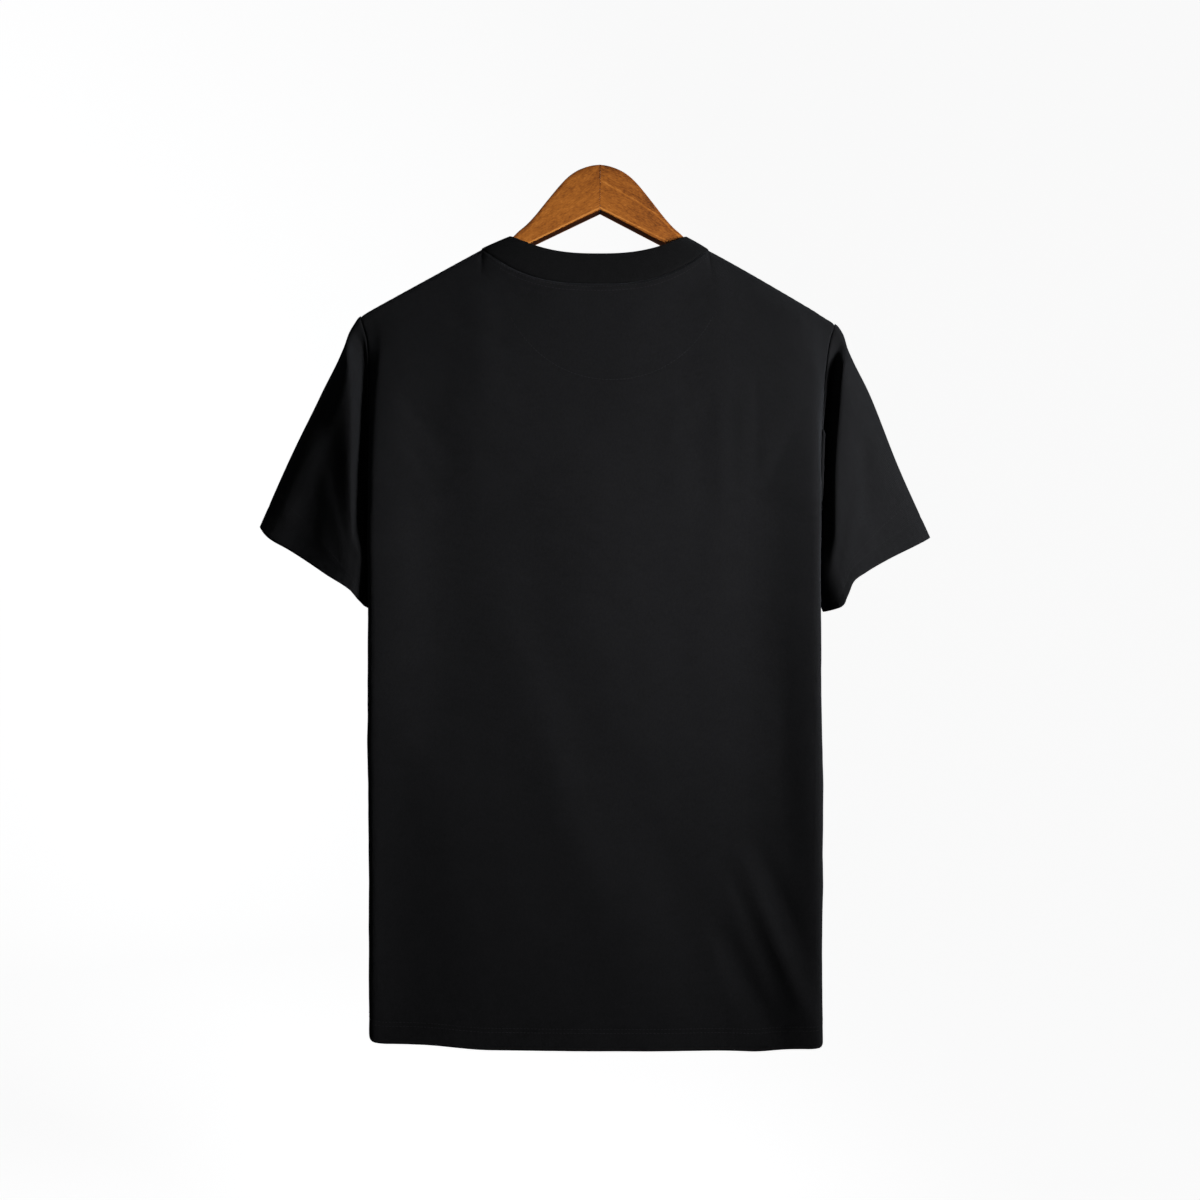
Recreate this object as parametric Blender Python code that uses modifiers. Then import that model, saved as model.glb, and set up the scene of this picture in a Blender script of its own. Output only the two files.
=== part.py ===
"""Black crew-neck football jersey on a flat wooden hanger, its back turned to the viewer.

Tables and sizes are in millimetres and the meshes in metres. The origin is the top of the hanger, at the
mouth of the hole that its hook screws into. +X is the wearer's right, +Y out of the chest and +Z up, so the
side that shows, the back, faces -Y. A drop is a distance below the origin, and a depth a distance from the
hanger's own plane, outwards to the back or to the chest.
"""

from collections import namedtuple
from math import cos, exp, hypot, pi, sin, sqrt

import bmesh
import bpy
import numpy as np
from mathutils import Vector

MM = 0.001

# Cloth
WALL = 1.2                # one layer of knit
HEM_WALL = 2.2            # the turned-up hems: two layers
COLLAR_WALL = 2.0         # the folded rib band
SEAM_GAP = 0.3
SHOULDER_EDGE_DEPTH = 0.5 # where each panel's outer face ends at the shoulder seam
HEM_HEIGHT = 22.0

# Garment outline
HEM_DROP = 803.0
NECK_CENTRE_X = -3.5
NECK_HALF = 106.0         # centre to the shoulder seam's neck end
NECK_DROP = 78.0
SHOULDER_SLOPE = 0.574
TILT = 0.0213             # the hanger hangs a little lower on the wearer's right
NECK_SHARE = 0.47         # share of a panel's half-width that belongs to the neck
UNDERARM_SHARE = 0.309    # how far down an edge, from shoulder tip to hem, the armhole ends
ARMHOLE_TURN_SHARE = 0.19 # where the armhole starts to curve under the arm
SADDLE = 9.0              # radius of the cloth over the hanger's top edge
NECK_EASE = 0.62          # how far across the neckline's depth is eased out, as a share of the half panel
NECK_EASE_REACH = 45.0    # and how far below the seam
BELL_REACH = 215.0        # the panels reach their full depth this far under the shoulder
SPREAD_REACH = 60.0
HEM_CORNER_LIFT = 8.0     # the hem rises towards the folded edges
HEM_CORNER_FROM = 0.76
HEM_CORNER_TO = 0.93
HEM_LEFT_LIFT = 3.0       # and a little more on the wearer's left

# Level sections of the body: folded edges to the wearer's left and right, depth of back and chest, and how
# far in the side seam is tucked.
Section = namedtuple("Section", "drop left right back chest tuck")
SECTIONS = (
    Section(137, 221.0, 217.0, 44, 42, 10),
    Section(160, 209.5, 209.5, 45, 43, 11),
    Section(185, 205.5, 206.0, 46, 44, 12),
    Section(225, 204.7, 202.5, 48, 46, 13),
    Section(265, 205.0, 200.3, 50, 48, 15),
    Section(345, 208.0, 199.5, 51, 49, 18),
    Section(420, 210.0, 200.2, 51, 50, 17),
    Section(560, 211.0, 202.0, 50, 50, 13),
    Section(700, 211.0, 202.0, 49, 49, 9),
    Section(805, 210.5, 201.5, 50, 48, 7),
)
CORNER_WIDTH = 15.0       # the rounding from the flat back to the folded edge
CROWN = 4.0
FOLD_SHARE = 0.5          # depth of the folded edge as a share of the panel's depth
ARMHOLE_SEAM_SHARE = 0.85 # depth of the armhole seam as a share of the folded edge's

# Neck: what the seam and the band's upper edge drop at the centre, and how far they stand off.
Neckline = namedtuple("Neckline", "face seam_dip seam_depth edge_dip edge_depth")
NECKLINES = {
    "back": Neckline("back", 37.0, 26.0, 20.0, 23.0),
    "chest": Neckline("chest", 100.0, 31.0, 88.0, 27.0),
}
SEAM_CURVE = 2.75
EDGE_CURVE = 2.4
PLAN_CURVE = 3.0
BAND_EDGE_HALF = 83.0
BAND_EDGE_DROP = 66.2
BAND_PLAN_CURVE = 4.0

# Soft folds of the panels, each from one point to another, height outwards.
Fold = namedtuple("Fold", "face x_top drop_top x_end drop_end width_top width_end height")
FOLDS = (
    Fold("back", -203, 60, -206, 600, 28, 34, 5),
    Fold("back", -150, 80, -148, 540, 30, 34, -5),
    Fold("back", -176, 470, -186, 900, 34, 50, -8),
    Fold("back", 203, 60, 204, 960, 40, 48, 19),
    Fold("back", -92, 300, 40, 830, 42, 62, 2.5),
    Fold("back", 118, 625, 190, 780, 9, 10, 3),
    Fold("back", 98, 680, 165, 800, 11, 13, -3),
    Fold("back", 5, 180, 25, 600, 40, 46, 3),
    Fold("chest", 125, 380, 150, 860, 24, 52, -9),
    Fold("chest", -70, 420, -120, 860, 26, 44, 6),
    Fold("chest", 150, 260, -20, 640, 20, 40, 4),
    Fold("chest", -204, 80, -204, 700, 30, 36, 6),
    Fold("chest", 204, 80, 202, 620, 30, 36, 6),
)

# Sleeves: the upper fold from shoulder tip to cuff, the cuff's line, and the groove beside the body.
SleevePoint = namedtuple("SleevePoint", "out drop")
Groove = namedtuple("Groove", "drop width centre wall floor")
Sleeve = namedtuple("Sleeve", "side sign top cuff groove ridge hollow crest")
SLEEVES = (
    Sleeve(
        "left", -1,
        top=(SleevePoint(221, 137), SleevePoint(231, 152), SleevePoint(236, 168),
             SleevePoint(255.5, 210), SleevePoint(286.5, 276), SleevePoint(312, 334)),
        cuff=(SleevePoint(312, 334), SleevePoint(303, 345), SleevePoint(284, 356),
              SleevePoint(252, 377), SleevePoint(223, 399), SleevePoint(212, 413)),
        groove=(Groove(137, 15, 0.50, 6, 0.0), Groove(158, 12, 0.50, 6, 0.5), Groove(190, 8, 0.50, 9, 0.6),
                Groove(250, 6, 0.40, 11, 0.3), Groove(300, 5, 0.40, 12, 0.1), Groove(350, 5, 0.40, 12, 0.0)),
        ridge=43, hollow=29, crest=23,
    ),
    Sleeve(
        "right", 1,
        top=(SleevePoint(217, 143.5), SleevePoint(224, 153.5), SleevePoint(228.5, 168),
             SleevePoint(247, 209), SleevePoint(272, 276), SleevePoint(303, 344)),
        cuff=(SleevePoint(303, 344), SleevePoint(283, 354), SleevePoint(260, 365.5),
              SleevePoint(241, 376.5), SleevePoint(229, 385), SleevePoint(224, 396),
              SleevePoint(218, 407), SleevePoint(206, 412.5)),
        groove=(Groove(143, 15, 0.75, 6, 0.0), Groove(180, 14, 0.75, 6, 0.4), Groove(215, 13, 0.65, 6, 0.8),
                Groove(250, 11, 0.50, 6.5, 1.0), Groove(300, 10, 0.50, 6.5, 1.0),
                Groove(350, 10, 0.50, 6.5, 0.7)),
        ridge=32, hollow=28, crest=25,
    ),
)
GROOVE_FLOOR = 8.5        # depth left between the groove's bottom and the hanger's plane
CHEST_GROOVE = 0.6        # the groove on the chest side, as a share of the one on the back
SLEEVE_ROUND = 0.24       # share of the sleeve's height that its upper fold rounds off
UNDERSIDE_ROUND = 0.16    # and the one that its underside does
SLIM_RUN = 70.0           # cloth beyond the ridge that it takes for a sleeve to slim to its hollow
SLEEVE_HEM_SHARE = 0.11   # of the way from the armhole to the cuff
SLEEVE_GAP = 0.7
UNDERARM_GAP = 3.2        # between the sleeve's underside and the body's folded edge
SWING = 20.0              # how far the sleeves' outer ends hang forward, towards the chest
SWING_FROM = 224.0        # where that starts, from the middle
SWING_RUN = 88.0
SWING_CURVE = 1.3

# Half-moon patch inside the back of the neck
MOON_CENTRE_X = 8.0
MOON_CENTRE_DROP = 110.0
MOON_RADIUS = 97.0
MOON_WALL = 1.0
MOON_CLEARANCE = 0.9
MOON_SEAM_INSET = 4.0

# Hanger: the upper edge of one arm as (out, drop), and its lower edge.
HANGER_TOP = ((0, 0), (8, 1), (15, 3), (22.5, 6.2), (30, 11.8), (37, 19.2), (45, 29), (52, 38.3), (60, 48.4),
              (67.5, 57), (75, 64.8), (79, 72.8), (84, 78.4), (106, 90), (150, 112), (198, 139.5))
HANGER_TIP = ((206, 145), (209, 152), (206, 158), (198, 160))
HANGER_NOTCH_DROP = 44.2
HANGER_UNDER_SLOPE = 0.50
HANGER_STRAIGHT_OUT = 95.0
HANGER_NARROW = (150, 131)  # where the lower edge bends towards the tip
HANGER_THICKNESS = 14.0
HANGER_EDGE_ROUND = 2.5
HOOK_HOLE_RADIUS = 2.2
HOOK_HOLE_DEPTH = 22.0
HOLE_SIDES = 12

# Mesh stations
ARM_STATIONS = (0, 0.007, 0.02, 0.045, 0.1, 0.18, 0.28, 0.39, 0.5, 0.61, 0.71, 0.8, 0.88, 0.945, 1)
LOW_STATIONS = (0.06, 0.14, 0.24, 0.35, 0.46, 0.57, 0.68, 0.79, 0.88)
SHOULDER_COLUMNS = (0.55, 0.64, 0.72, 0.78, 0.83, 0.88, 0.92, 0.96, 1)
NECK_COLUMNS = 16
GROOVE_RINGS = (0, 0.3, 0.65, 1, 1.35, 1.7, 2)
SLEEVE_RINGS = (0.16, 0.34, 0.52, 0.7, 0.86, 0.99)
BAND_RINGS = 3

BLACK_KNIT = ("black_knit", (0.012, 0.012, 0.014), 0.85)
BLACK_RIB = ("black_rib", (0.010, 0.010, 0.012), 0.9)
VARNISHED_WOOD = ("varnished_wood", (0.33, 0.12, 0.022), 0.35)


# ---------------------------------------------------------------- curves and tables

def smooth(q):
    """0 to 1 with level ends."""
    q = min(1.0, max(0.0, q))
    return q * q * (3 - 2 * q)


def round_off(q):
    """A quarter of a circle: rises steeply from 0 and is level at 1."""
    q = min(1.0, max(0.0, q))
    return sqrt(q * (2 - q))


def through(xs, ys, x):
    """A smooth curve through points, by cubic pieces; level past its ends."""
    if x <= xs[0]:
        return ys[0]
    if x >= xs[-1]:
        return ys[-1]
    i = int(np.searchsorted(xs, x, side="right")) - 1
    slopes = np.gradient(np.asarray(ys, float), np.asarray(xs, float))
    span = xs[i + 1] - xs[i]
    q = (x - xs[i]) / span
    lift = slopes[i] * span * q * (1 - q) ** 2 - slopes[i + 1] * span * q * q * (1 - q)
    return ys[i] + (ys[i + 1] - ys[i]) * smooth(q) + lift


def read(rows, column, drop):
    """The named column of a table at this drop."""
    return through([row.drop for row in rows], [getattr(row, column) for row in rows], drop)


def along(points, share):
    """The point at this share of the length of a smooth line through (out, drop) points."""
    steps = [hypot(b[0] - a[0], b[1] - a[1]) for a, b in zip(points, points[1:])]
    reach = np.concatenate([[0], np.cumsum(steps)])
    return [through(reach, [p[axis] for p in points], share * reach[-1]) for axis in (0, 1)]


def stepped(stops, values, at):
    """Passes through each value with a level tangent, as a row of valleys and crests does."""
    for start, end, low, high in zip(stops, stops[1:], values, values[1:]):
        if at <= end:
            return low + (high - low) * smooth((at - start) / max(end - start, 1e-6))
    return values[-1]


# ---------------------------------------------------------------- body

def shoulder_drop(x):
    return NECK_DROP + SHOULDER_SLOPE * (abs(x) - NECK_HALF) + TILT * x


def neck_seam(face, turn):
    """The neck seam at a turn from -1, the left shoulder seam, to 1, the right: x, depth, drop."""
    line = NECKLINES[face]
    share = abs(sin(pi / 2 * turn))
    x = NECK_CENTRE_X + NECK_HALF * sin(pi / 2 * turn)
    depth = line.seam_depth * (1 - share ** PLAN_CURVE) ** (1 / PLAN_CURVE)
    drop = NECK_DROP + line.seam_dip * (1 - share ** SEAM_CURVE) + TILT * x
    return x, depth, drop


def top_edge(face, s):
    """The upper edge of a panel: the neck seam, and beyond it the shoulder seam."""
    if abs(s) <= NECK_SHARE:
        return neck_seam(face, s / NECK_SHARE)
    tip = -SECTIONS[0].left if s < 0 else SECTIONS[0].right
    start = NECK_CENTRE_X + np.copysign(NECK_HALF, s)
    x = start + (tip - start) * (abs(s) - NECK_SHARE) / (1 - NECK_SHARE)
    return x, SHOULDER_EDGE_DEPTH, shoulder_drop(x)


def armhole_seam_share(fall):
    """Depth of the armhole seam as a share of the folded edge's, which closes to 0 under the arm."""
    if fall <= ARMHOLE_TURN_SHARE:
        return ARMHOLE_SEAM_SHARE
    if fall >= UNDERARM_SHARE:
        return 0.0
    turn = (fall - ARMHOLE_TURN_SHARE) / (UNDERARM_SHARE - ARMHOLE_TURN_SHARE)
    return ARMHOLE_SEAM_SHARE * sqrt(1 - turn * turn)


def section_point(face, s, drop, fall):
    """The point at share |s| of the length of a level half-section, from its centre to its seam."""
    side = "left" if s < 0 else "right"
    edge = read(SECTIONS, side, drop)
    depth = read(SECTIONS, face, drop)
    tuck = read(SECTIONS, "tuck", drop)
    fold = FOLD_SHARE * depth
    flat = edge - CORNER_WIDTH
    points = [(flat * q, depth - CROWN * q * q) for q in np.linspace(0, 1, 9)]
    rise = depth - CROWN - fold
    points += [(flat + CORNER_WIDTH * sin(a), fold + rise * cos(a)) for a in np.linspace(0, pi / 2, 11)[1:]]
    for q in np.linspace(1, armhole_seam_share(fall), 11)[1:]:
        points.append((edge - tuck * (1 + cos(pi * q)) / 2, fold * q))
    points = np.array(points)
    reach = np.concatenate([[0], np.cumsum(np.hypot(*np.diff(points, axis=0).T))])
    x, y = (np.interp(abs(s) * reach[-1], reach, points[:, axis]) for axis in (0, 1))
    return (x if s > 0 else -x), y


def side_out(face, sign, depth, drop):
    """How far out the body's folded edge reaches at this depth and drop."""
    edge = read(SECTIONS, "left" if sign < 0 else "right", drop)
    full = read(SECTIONS, face, drop)
    fold = FOLD_SHARE * full
    if depth <= fold:
        return edge - read(SECTIONS, "tuck", drop) * (1 + cos(pi * depth / fold)) / 2
    rise = full - CROWN - fold
    return edge - CORNER_WIDTH * (1 - sqrt(max(0.0, 1 - ((depth - fold) / rise) ** 2)))


def hem_drop(s):
    lift = HEM_CORNER_LIFT * smooth((abs(s) - HEM_CORNER_FROM) / (HEM_CORNER_TO - HEM_CORNER_FROM))
    return HEM_DROP - lift - HEM_LEFT_LIFT * smooth((-s - 0.5) / 0.25)


def fold_height(face, x, drop):
    """What the soft folds of a panel add to its depth at this place."""
    total = 0.0
    for fold in FOLDS:
        if fold.face != face:
            continue
        run_x, run_drop = fold.x_end - fold.x_top, fold.drop_end - fold.drop_top
        length = hypot(run_x, run_drop)
        share = ((x - fold.x_top) * run_x + (drop - fold.drop_top) * run_drop) / length ** 2
        away = ((x - fold.x_top) * run_drop - (drop - fold.drop_top) * run_x) / length
        width = fold.width_top + (fold.width_end - fold.width_top) * smooth(share)
        total += fold.height * smooth(share / 0.45) * smooth((1.1 - share) / 0.3) * exp(-(away / width) ** 2)
    return total


def body_point(face, s, fall):
    """A point of a panel: s from -1 to 1 across it, fall from 0 at its upper edge to 1 at the hem."""
    x_top, depth_top, drop_top = top_edge(face, s)
    drop = drop_top + (hem_drop(s) - drop_top) * fall
    below = drop - drop_top
    x, depth = section_point(face, s, drop, fall)
    x += (x_top - section_point(face, s, drop_top, 0)[0]) * exp(-below / SPREAD_REACH)
    near = depth_top + max(0.0, SADDLE - depth_top) * round_off(below / SADDLE)
    eased = SADDLE + (NECKLINES[face].seam_depth - SADDLE) * (1 - smooth(abs(s) / NECK_EASE))
    near += (eased - near) * smooth(below / NECK_EASE_REACH)
    away = min(1.0, below / BELL_REACH)
    depth = near + (depth - near) * (1 - (1 - away) ** 2)
    edge_fade = smooth((1 - abs(s)) / 0.18)
    depth += fold_height(face, x, drop) * edge_fade
    least = SEAM_GAP / 2 + (SHOULDER_EDGE_DEPTH - SEAM_GAP / 2) * exp(-below / SADDLE)
    depth = max(depth, least)
    return np.array((x, -depth if face == "back" else depth, -drop))


def falls():
    """The rows of a panel, from its upper edge to its hem; the armhole's rows come first."""
    hem_top = 1 - HEM_HEIGHT / (HEM_DROP - NECK_DROP)
    upper = [UNDERARM_SHARE * q for q in ARM_STATIONS]
    lower = [UNDERARM_SHARE + (1 - UNDERARM_SHARE) * q for q in LOW_STATIONS]
    return upper + lower + [hem_top - 0.004, hem_top + 0.004, 1.0]


def columns():
    neck = list(np.linspace(-NECK_SHARE, NECK_SHARE, NECK_COLUMNS + 1))
    return [-s for s in reversed(SHOULDER_COLUMNS)] + neck + list(SHOULDER_COLUMNS)


# ---------------------------------------------------------------- sleeves

def sleeve_row(sleeve, face, share, fall, rings):
    """One row of a sleeve from the armhole to the cuff; share is 0 on its upper fold and 1 under the arm."""
    start = body_point(face, sleeve.sign, fall)
    seam_out, seam_depth, seam_drop = abs(start[0]), abs(start[1]), -start[2]
    cuff_out, cuff_drop = along(sleeve.cuff, share)
    span = cuff_out - seam_out
    width = min(read(sleeve.groove, "width", seam_drop), 0.55 * span)
    centre = width * read(sleeve.groove, "centre", seam_drop)
    cut = read(sleeve.groove, "floor", seam_drop) * (1 if face == "back" else CHEST_GROOVE)
    closing = round_off(share / SLEEVE_ROUND) * round_off((1 - share) / UNDERSIDE_ROUND)
    floor = seam_depth + (min(seam_depth, GROOVE_FLOOR) - seam_depth) * cut
    ridge, hollow, crest = (size * closing for size in (sleeve.ridge, sleeve.hollow, sleeve.crest))
    hem_at = (1 - SLEEVE_HEM_SHARE) * span
    ridge_at = min(width + read(sleeve.groove, "wall", seam_drop), 0.6 * span)
    rest = span - ridge_at
    hollow, crest = (ridge + (size - ridge) * smooth(rest / SLIM_RUN) for size in (hollow, crest))
    stops = (0, centre, ridge_at, ridge_at + 0.4 * rest, ridge_at + 0.75 * rest, span)
    depths = (seam_depth, floor, ridge, hollow, crest, crest)
    outs = [centre * k if k <= 1 else centre + (ridge_at - centre) * (k - 1) for k in GROOVE_RINGS]
    outs += [ridge_at + (hem_at - ridge_at) * k for k in rings] + [hem_at + 0.01 * span, span]
    row = []
    for out in outs:
        q = out / span
        drop = seam_drop + (cuff_drop - seam_drop) * q
        x = seam_out + out
        if share < 1:
            top_out, top_drop = along(sleeve.top, q)
            line_out = sleeve.top[0].out + (sleeve.top[-1].out - sleeve.top[0].out) * q
            line_drop = sleeve.top[0].drop + (sleeve.top[-1].drop - sleeve.top[0].drop) * q
            bend = (1 - share) ** 3
            x += (top_out - line_out) * bend
            drop += (top_drop - line_drop) * bend
        depth = stepped(stops, depths, out)
        if out > 0 and share > 0.5:
            x = max(x, side_out(face, sleeve.sign, depth, drop) + UNDERARM_GAP)
        row.append(np.array((sleeve.sign * x, -depth if face == "back" else depth, -drop)))
    pull = row[1] - row[0]
    pull = pull / np.linalg.norm(pull)
    under = smooth((share - 0.4) / 0.3)
    pull = pull * (1 - under) + np.array((sleeve.sign, 0, 0.3)) * under
    row[0] = row[0] + pull * SLEEVE_GAP
    return row


def swing(x):
    """How far a sleeve hangs forward at this distance from the middle."""
    return SWING * max(0.0, (abs(x) - SWING_FROM) / SWING_RUN) ** SWING_CURVE


def sleeve_rows(sleeve):
    """All rows round a sleeve: down the back from the upper fold, and up the chest side."""
    back = [sleeve_row(sleeve, "back", q, UNDERARM_SHARE * q, SLEEVE_RINGS) for q in ARM_STATIONS]
    chest = [sleeve_row(sleeve, "chest", q, UNDERARM_SHARE * q, SLEEVE_RINGS) for q in ARM_STATIONS]
    for row in (back[0], back[-1], chest[0], chest[-1]):
        for point in row:
            point[1] = 0.0
    rows = back + chest[::-1][1:-1]
    for row in rows:
        for point in row:
            point[1] += swing(point[0])
    return rows


# ---------------------------------------------------------------- neck band and patch

def band_edge(face, turn):
    """The folded upper edge of the neck band."""
    line = NECKLINES[face]
    share = abs(sin(pi / 2 * turn))
    x = NECK_CENTRE_X + BAND_EDGE_HALF * sin(pi / 2 * turn)
    depth = line.edge_depth * (1 - share ** BAND_PLAN_CURVE) ** (1 / BAND_PLAN_CURVE)
    drop = BAND_EDGE_DROP + line.edge_dip * (1 - share ** EDGE_CURVE) + TILT * x
    return x, depth, drop


def band_rows():
    """Rings round the neck, from the seam to the folded edge."""
    turns = np.linspace(-1, 1, NECK_COLUMNS + 1)
    stations = [("back", t) for t in turns] + [("chest", t) for t in turns[::-1][1:-1]]
    rows = []
    for face, turn in stations:
        sign = -1 if face == "back" else 1
        lines = (neck_seam(face, turn), band_edge(face, turn))
        low, high = (np.array((x, sign * depth, -drop)) for x, depth, drop in lines)
        low = low + (high - low) * (SLEEVE_GAP / np.linalg.norm(high - low))
        rows.append([low + (high - low) * q for q in np.linspace(0, 1, BAND_RINGS + 1)])
    return rows


def moon_point(across, down):
    """A point of the half-moon patch, inside the back panel: across from -1 to 1, down from 0 to 1."""
    x_wanted = MOON_CENTRE_X + 0.94 * MOON_RADIUS * across
    low_drop = MOON_CENTRE_DROP + sqrt(MOON_RADIUS ** 2 - (x_wanted - MOON_CENTRE_X) ** 2)
    s = NECK_SHARE * 2 / pi * np.arcsin((x_wanted - NECK_CENTRE_X) / NECK_HALF)
    top_drop = top_edge("back", s)[2]
    start = MOON_SEAM_INSET / (HEM_DROP - top_drop)
    end = (low_drop - top_drop) / (HEM_DROP - top_drop)
    fall = start + (end - start) * down
    step = 0.002
    here = body_point("back", s, fall)
    normal = np.cross(body_point("back", s, fall + step) - here, body_point("back", s + step, fall) - here)
    normal /= np.linalg.norm(normal)
    return here - normal * np.sign(-normal[1]) * (WALL + MOON_CLEARANCE)


# ---------------------------------------------------------------- Blender objects

def material(name, colour, roughness):
    made = bpy.data.materials.get(name) or bpy.data.materials.new(name)
    made.use_nodes = True
    shader = made.node_tree.nodes["Principled BSDF"]
    shader.inputs["Base Color"].default_value = (*colour, 1)
    shader.inputs["Roughness"].default_value = roughness
    return made


def finish_piece(piece, finish, parts, frame):
    piece.data.materials.append(material(*finish))
    piece.parent = frame
    parts.objects.link(piece)
    return piece


def cloth_piece(name, points, finish, parts, frame, wall, closed=False, hem_rows=0, flip=False):
    """A wall of cloth: a grid bent to the points, thickened inwards, doubled over its last rows as a hem."""
    down, across = len(points[0]), len(points)
    grid = bmesh.new()
    bmesh.ops.create_grid(grid, x_segments=across - 1 + closed, y_segments=down - 1, size=0.5)
    hem = grid.verts.layers.deform.verify()
    for vertex in grid.verts:
        i = round((vertex.co.x + 0.5) * (across - 1 + closed)) % across
        j = round((vertex.co.y + 0.5) * (down - 1))
        vertex.co = Vector(points[i][j]) * MM
        vertex[hem][0] = 1.0 if hem_rows and j >= down - hem_rows else wall / HEM_WALL
    if closed:
        bmesh.ops.remove_doubles(grid, verts=grid.verts, dist=1e-6)
    if flip:
        bmesh.ops.reverse_faces(grid, faces=grid.faces)
    mesh = bpy.data.meshes.new(name)
    grid.to_mesh(mesh)
    grid.free()
    mesh.shade_smooth()
    piece = bpy.data.objects.new(name, mesh)
    layers = piece.vertex_groups.new(name="layers")
    shell = piece.modifiers.new("wall", "SOLIDIFY")
    shell.offset = -1
    shell.use_quality_normals = True
    shell.thickness = (HEM_WALL if hem_rows else wall) * MM
    if hem_rows:
        shell.vertex_group = layers.name
    return finish_piece(piece, finish, parts, frame)


def panel(face, parts, frame):
    points = [[body_point(face, s, fall) for fall in falls()] for s in columns()]
    name = "back_panel" if face == "back" else "front_panel"
    return cloth_piece(name, points, BLACK_KNIT, parts, frame, WALL, hem_rows=2, flip=face == "back")


def sleeve_piece(sleeve, parts, frame):
    rows = sleeve_rows(sleeve)
    name = sleeve.side + "_sleeve"
    flip = sleeve.sign < 0
    return cloth_piece(name, rows, BLACK_KNIT, parts, frame, WALL, closed=True, hem_rows=2, flip=flip)


def neck_band(parts, frame):
    return cloth_piece("neck_band", band_rows(), BLACK_RIB, parts, frame, COLLAR_WALL, closed=True)


def half_moon(parts, frame):
    points = [[moon_point(a, d) for d in np.linspace(0, 1, 6)] for a in np.linspace(-1, 1, 13)]
    return cloth_piece("half_moon_patch", points, BLACK_KNIT, parts, frame, MOON_WALL, flip=True)


def arm_outline(sign):
    """The outline of one arm, round from the mitre's foot along the under edge and back along the top."""
    bend_out, bend_drop = HANGER_NARROW
    straight = HANGER_STRAIGHT_OUT
    under = [(SEAM_GAP / 2, HANGER_NOTCH_DROP),
             (straight, HANGER_NOTCH_DROP + HANGER_UNDER_SLOPE * straight),
             (bend_out, bend_drop)]
    top = [(max(out, SEAM_GAP / 2), drop) for out, drop in HANGER_TOP]
    outline = under + list(HANGER_TIP[::-1]) + top[::-1]
    return [(sign * out, -drop - TILT * sign * out) for out, drop in outline]


def hanger_arm(name, sign, cutter, parts, frame):
    """One arm: an outline extruded to the wood's thickness, long edges rounded, and half the hook's hole."""
    curve = bpy.data.curves.new(name, "CURVE")
    curve.dimensions = "2D"
    curve.fill_mode = "BOTH"
    curve.extrude = HANGER_THICKNESS / 2 * MM
    outline = arm_outline(sign)
    line = curve.splines.new("POLY")
    line.points.add(len(outline) - 1)
    for point, (x, z) in zip(line.points, outline):
        point.co = (x * MM, z * MM, 0, 1)
    line.use_cyclic_u = True
    drawn = bpy.data.objects.new(name + "_outline", curve)
    bpy.context.scene.collection.objects.link(drawn)
    drawn.rotation_euler = (pi / 2, 0, 0)
    bpy.context.view_layer.update()
    mesh = bpy.data.meshes.new_from_object(drawn.evaluated_get(bpy.context.evaluated_depsgraph_get()))
    welded = bmesh.new()
    welded.from_mesh(mesh)
    bmesh.ops.remove_doubles(welded, verts=welded.verts, dist=1e-6)
    bmesh.ops.dissolve_limit(welded, angle_limit=0.01, verts=welded.verts, edges=welded.edges)
    bmesh.ops.recalc_face_normals(welded, faces=welded.faces)
    weight = welded.edges.layers.float.new("bevel_weight_edge")
    for edge in welded.edges:
        ends = [abs(vertex.co.x) for vertex in edge.verts]
        level = abs(edge.verts[0].co.z - edge.verts[1].co.z) < 1e-6
        edge[weight] = 1.0 if level and max(ends) > SEAM_GAP * MM else 0.0
    welded.to_mesh(mesh)
    welded.free()
    arm = bpy.data.objects.new(name, mesh)
    arm.matrix_world = drawn.matrix_world
    bpy.data.objects.remove(drawn)
    rounding = arm.modifiers.new("edges", "BEVEL")
    rounding.width = HANGER_EDGE_ROUND * MM
    rounding.segments = 2
    rounding.limit_method = "WEIGHT"
    hole = arm.modifiers.new("hook_hole", "BOOLEAN")
    hole.operation = "DIFFERENCE"
    hole.object = cutter
    return finish_piece(arm, VARNISHED_WOOD, parts, frame)


def hook_hole_cutter(cutters):
    above = 3.0
    length = HOOK_HOLE_DEPTH + above
    bpy.ops.mesh.primitive_cylinder_add(
        vertices=HOLE_SIDES, radius=HOOK_HOLE_RADIUS * MM, depth=length * MM,
        location=(0, 0, (above - length / 2) * MM), rotation=(0, 0, pi / HOLE_SIDES),
    )
    cutter = bpy.context.object
    cutter.name = "hook_hole_cutter"
    for collection in list(cutter.users_collection):
        collection.objects.unlink(cutter)
    cutters.objects.link(cutter)
    cutter.hide_render = True
    cutter.display_type = "WIRE"
    return cutter


def main():
    for old in list(bpy.data.objects):
        bpy.data.objects.remove(old)
    parts = bpy.data.collections.new("football_jersey_on_hanger")
    cutters = bpy.data.collections.new("cutters")
    for collection in (parts, cutters):
        bpy.context.scene.collection.children.link(collection)
    frame = bpy.data.objects.new("hanging_point", None)
    parts.objects.link(frame)
    cutter = hook_hole_cutter(cutters)
    hanger_arm("hanger_left_arm", -1, cutter, parts, frame)
    hanger_arm("hanger_right_arm", 1, cutter, parts, frame)
    panel("back", parts, frame)
    panel("chest", parts, frame)
    for sleeve in SLEEVES:
        sleeve_piece(sleeve, parts, frame)
    neck_band(parts, frame)
    half_moon(parts, frame)


main()
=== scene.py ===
"""Looks of the black football jersey on its wooden hanger, its back turned to the camera.

Tables and sizes are in millimetres and the meshes in metres. The origin is the top of the hanger at its
centre, +X the wearer's right, +Y out of the chest and +Z up. A drop is a distance below the origin, and a
depth a distance from the hanger's own plane, outwards to the back or to the chest.
"""

from collections import namedtuple
from math import atan, hypot, pi, radians

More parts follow.
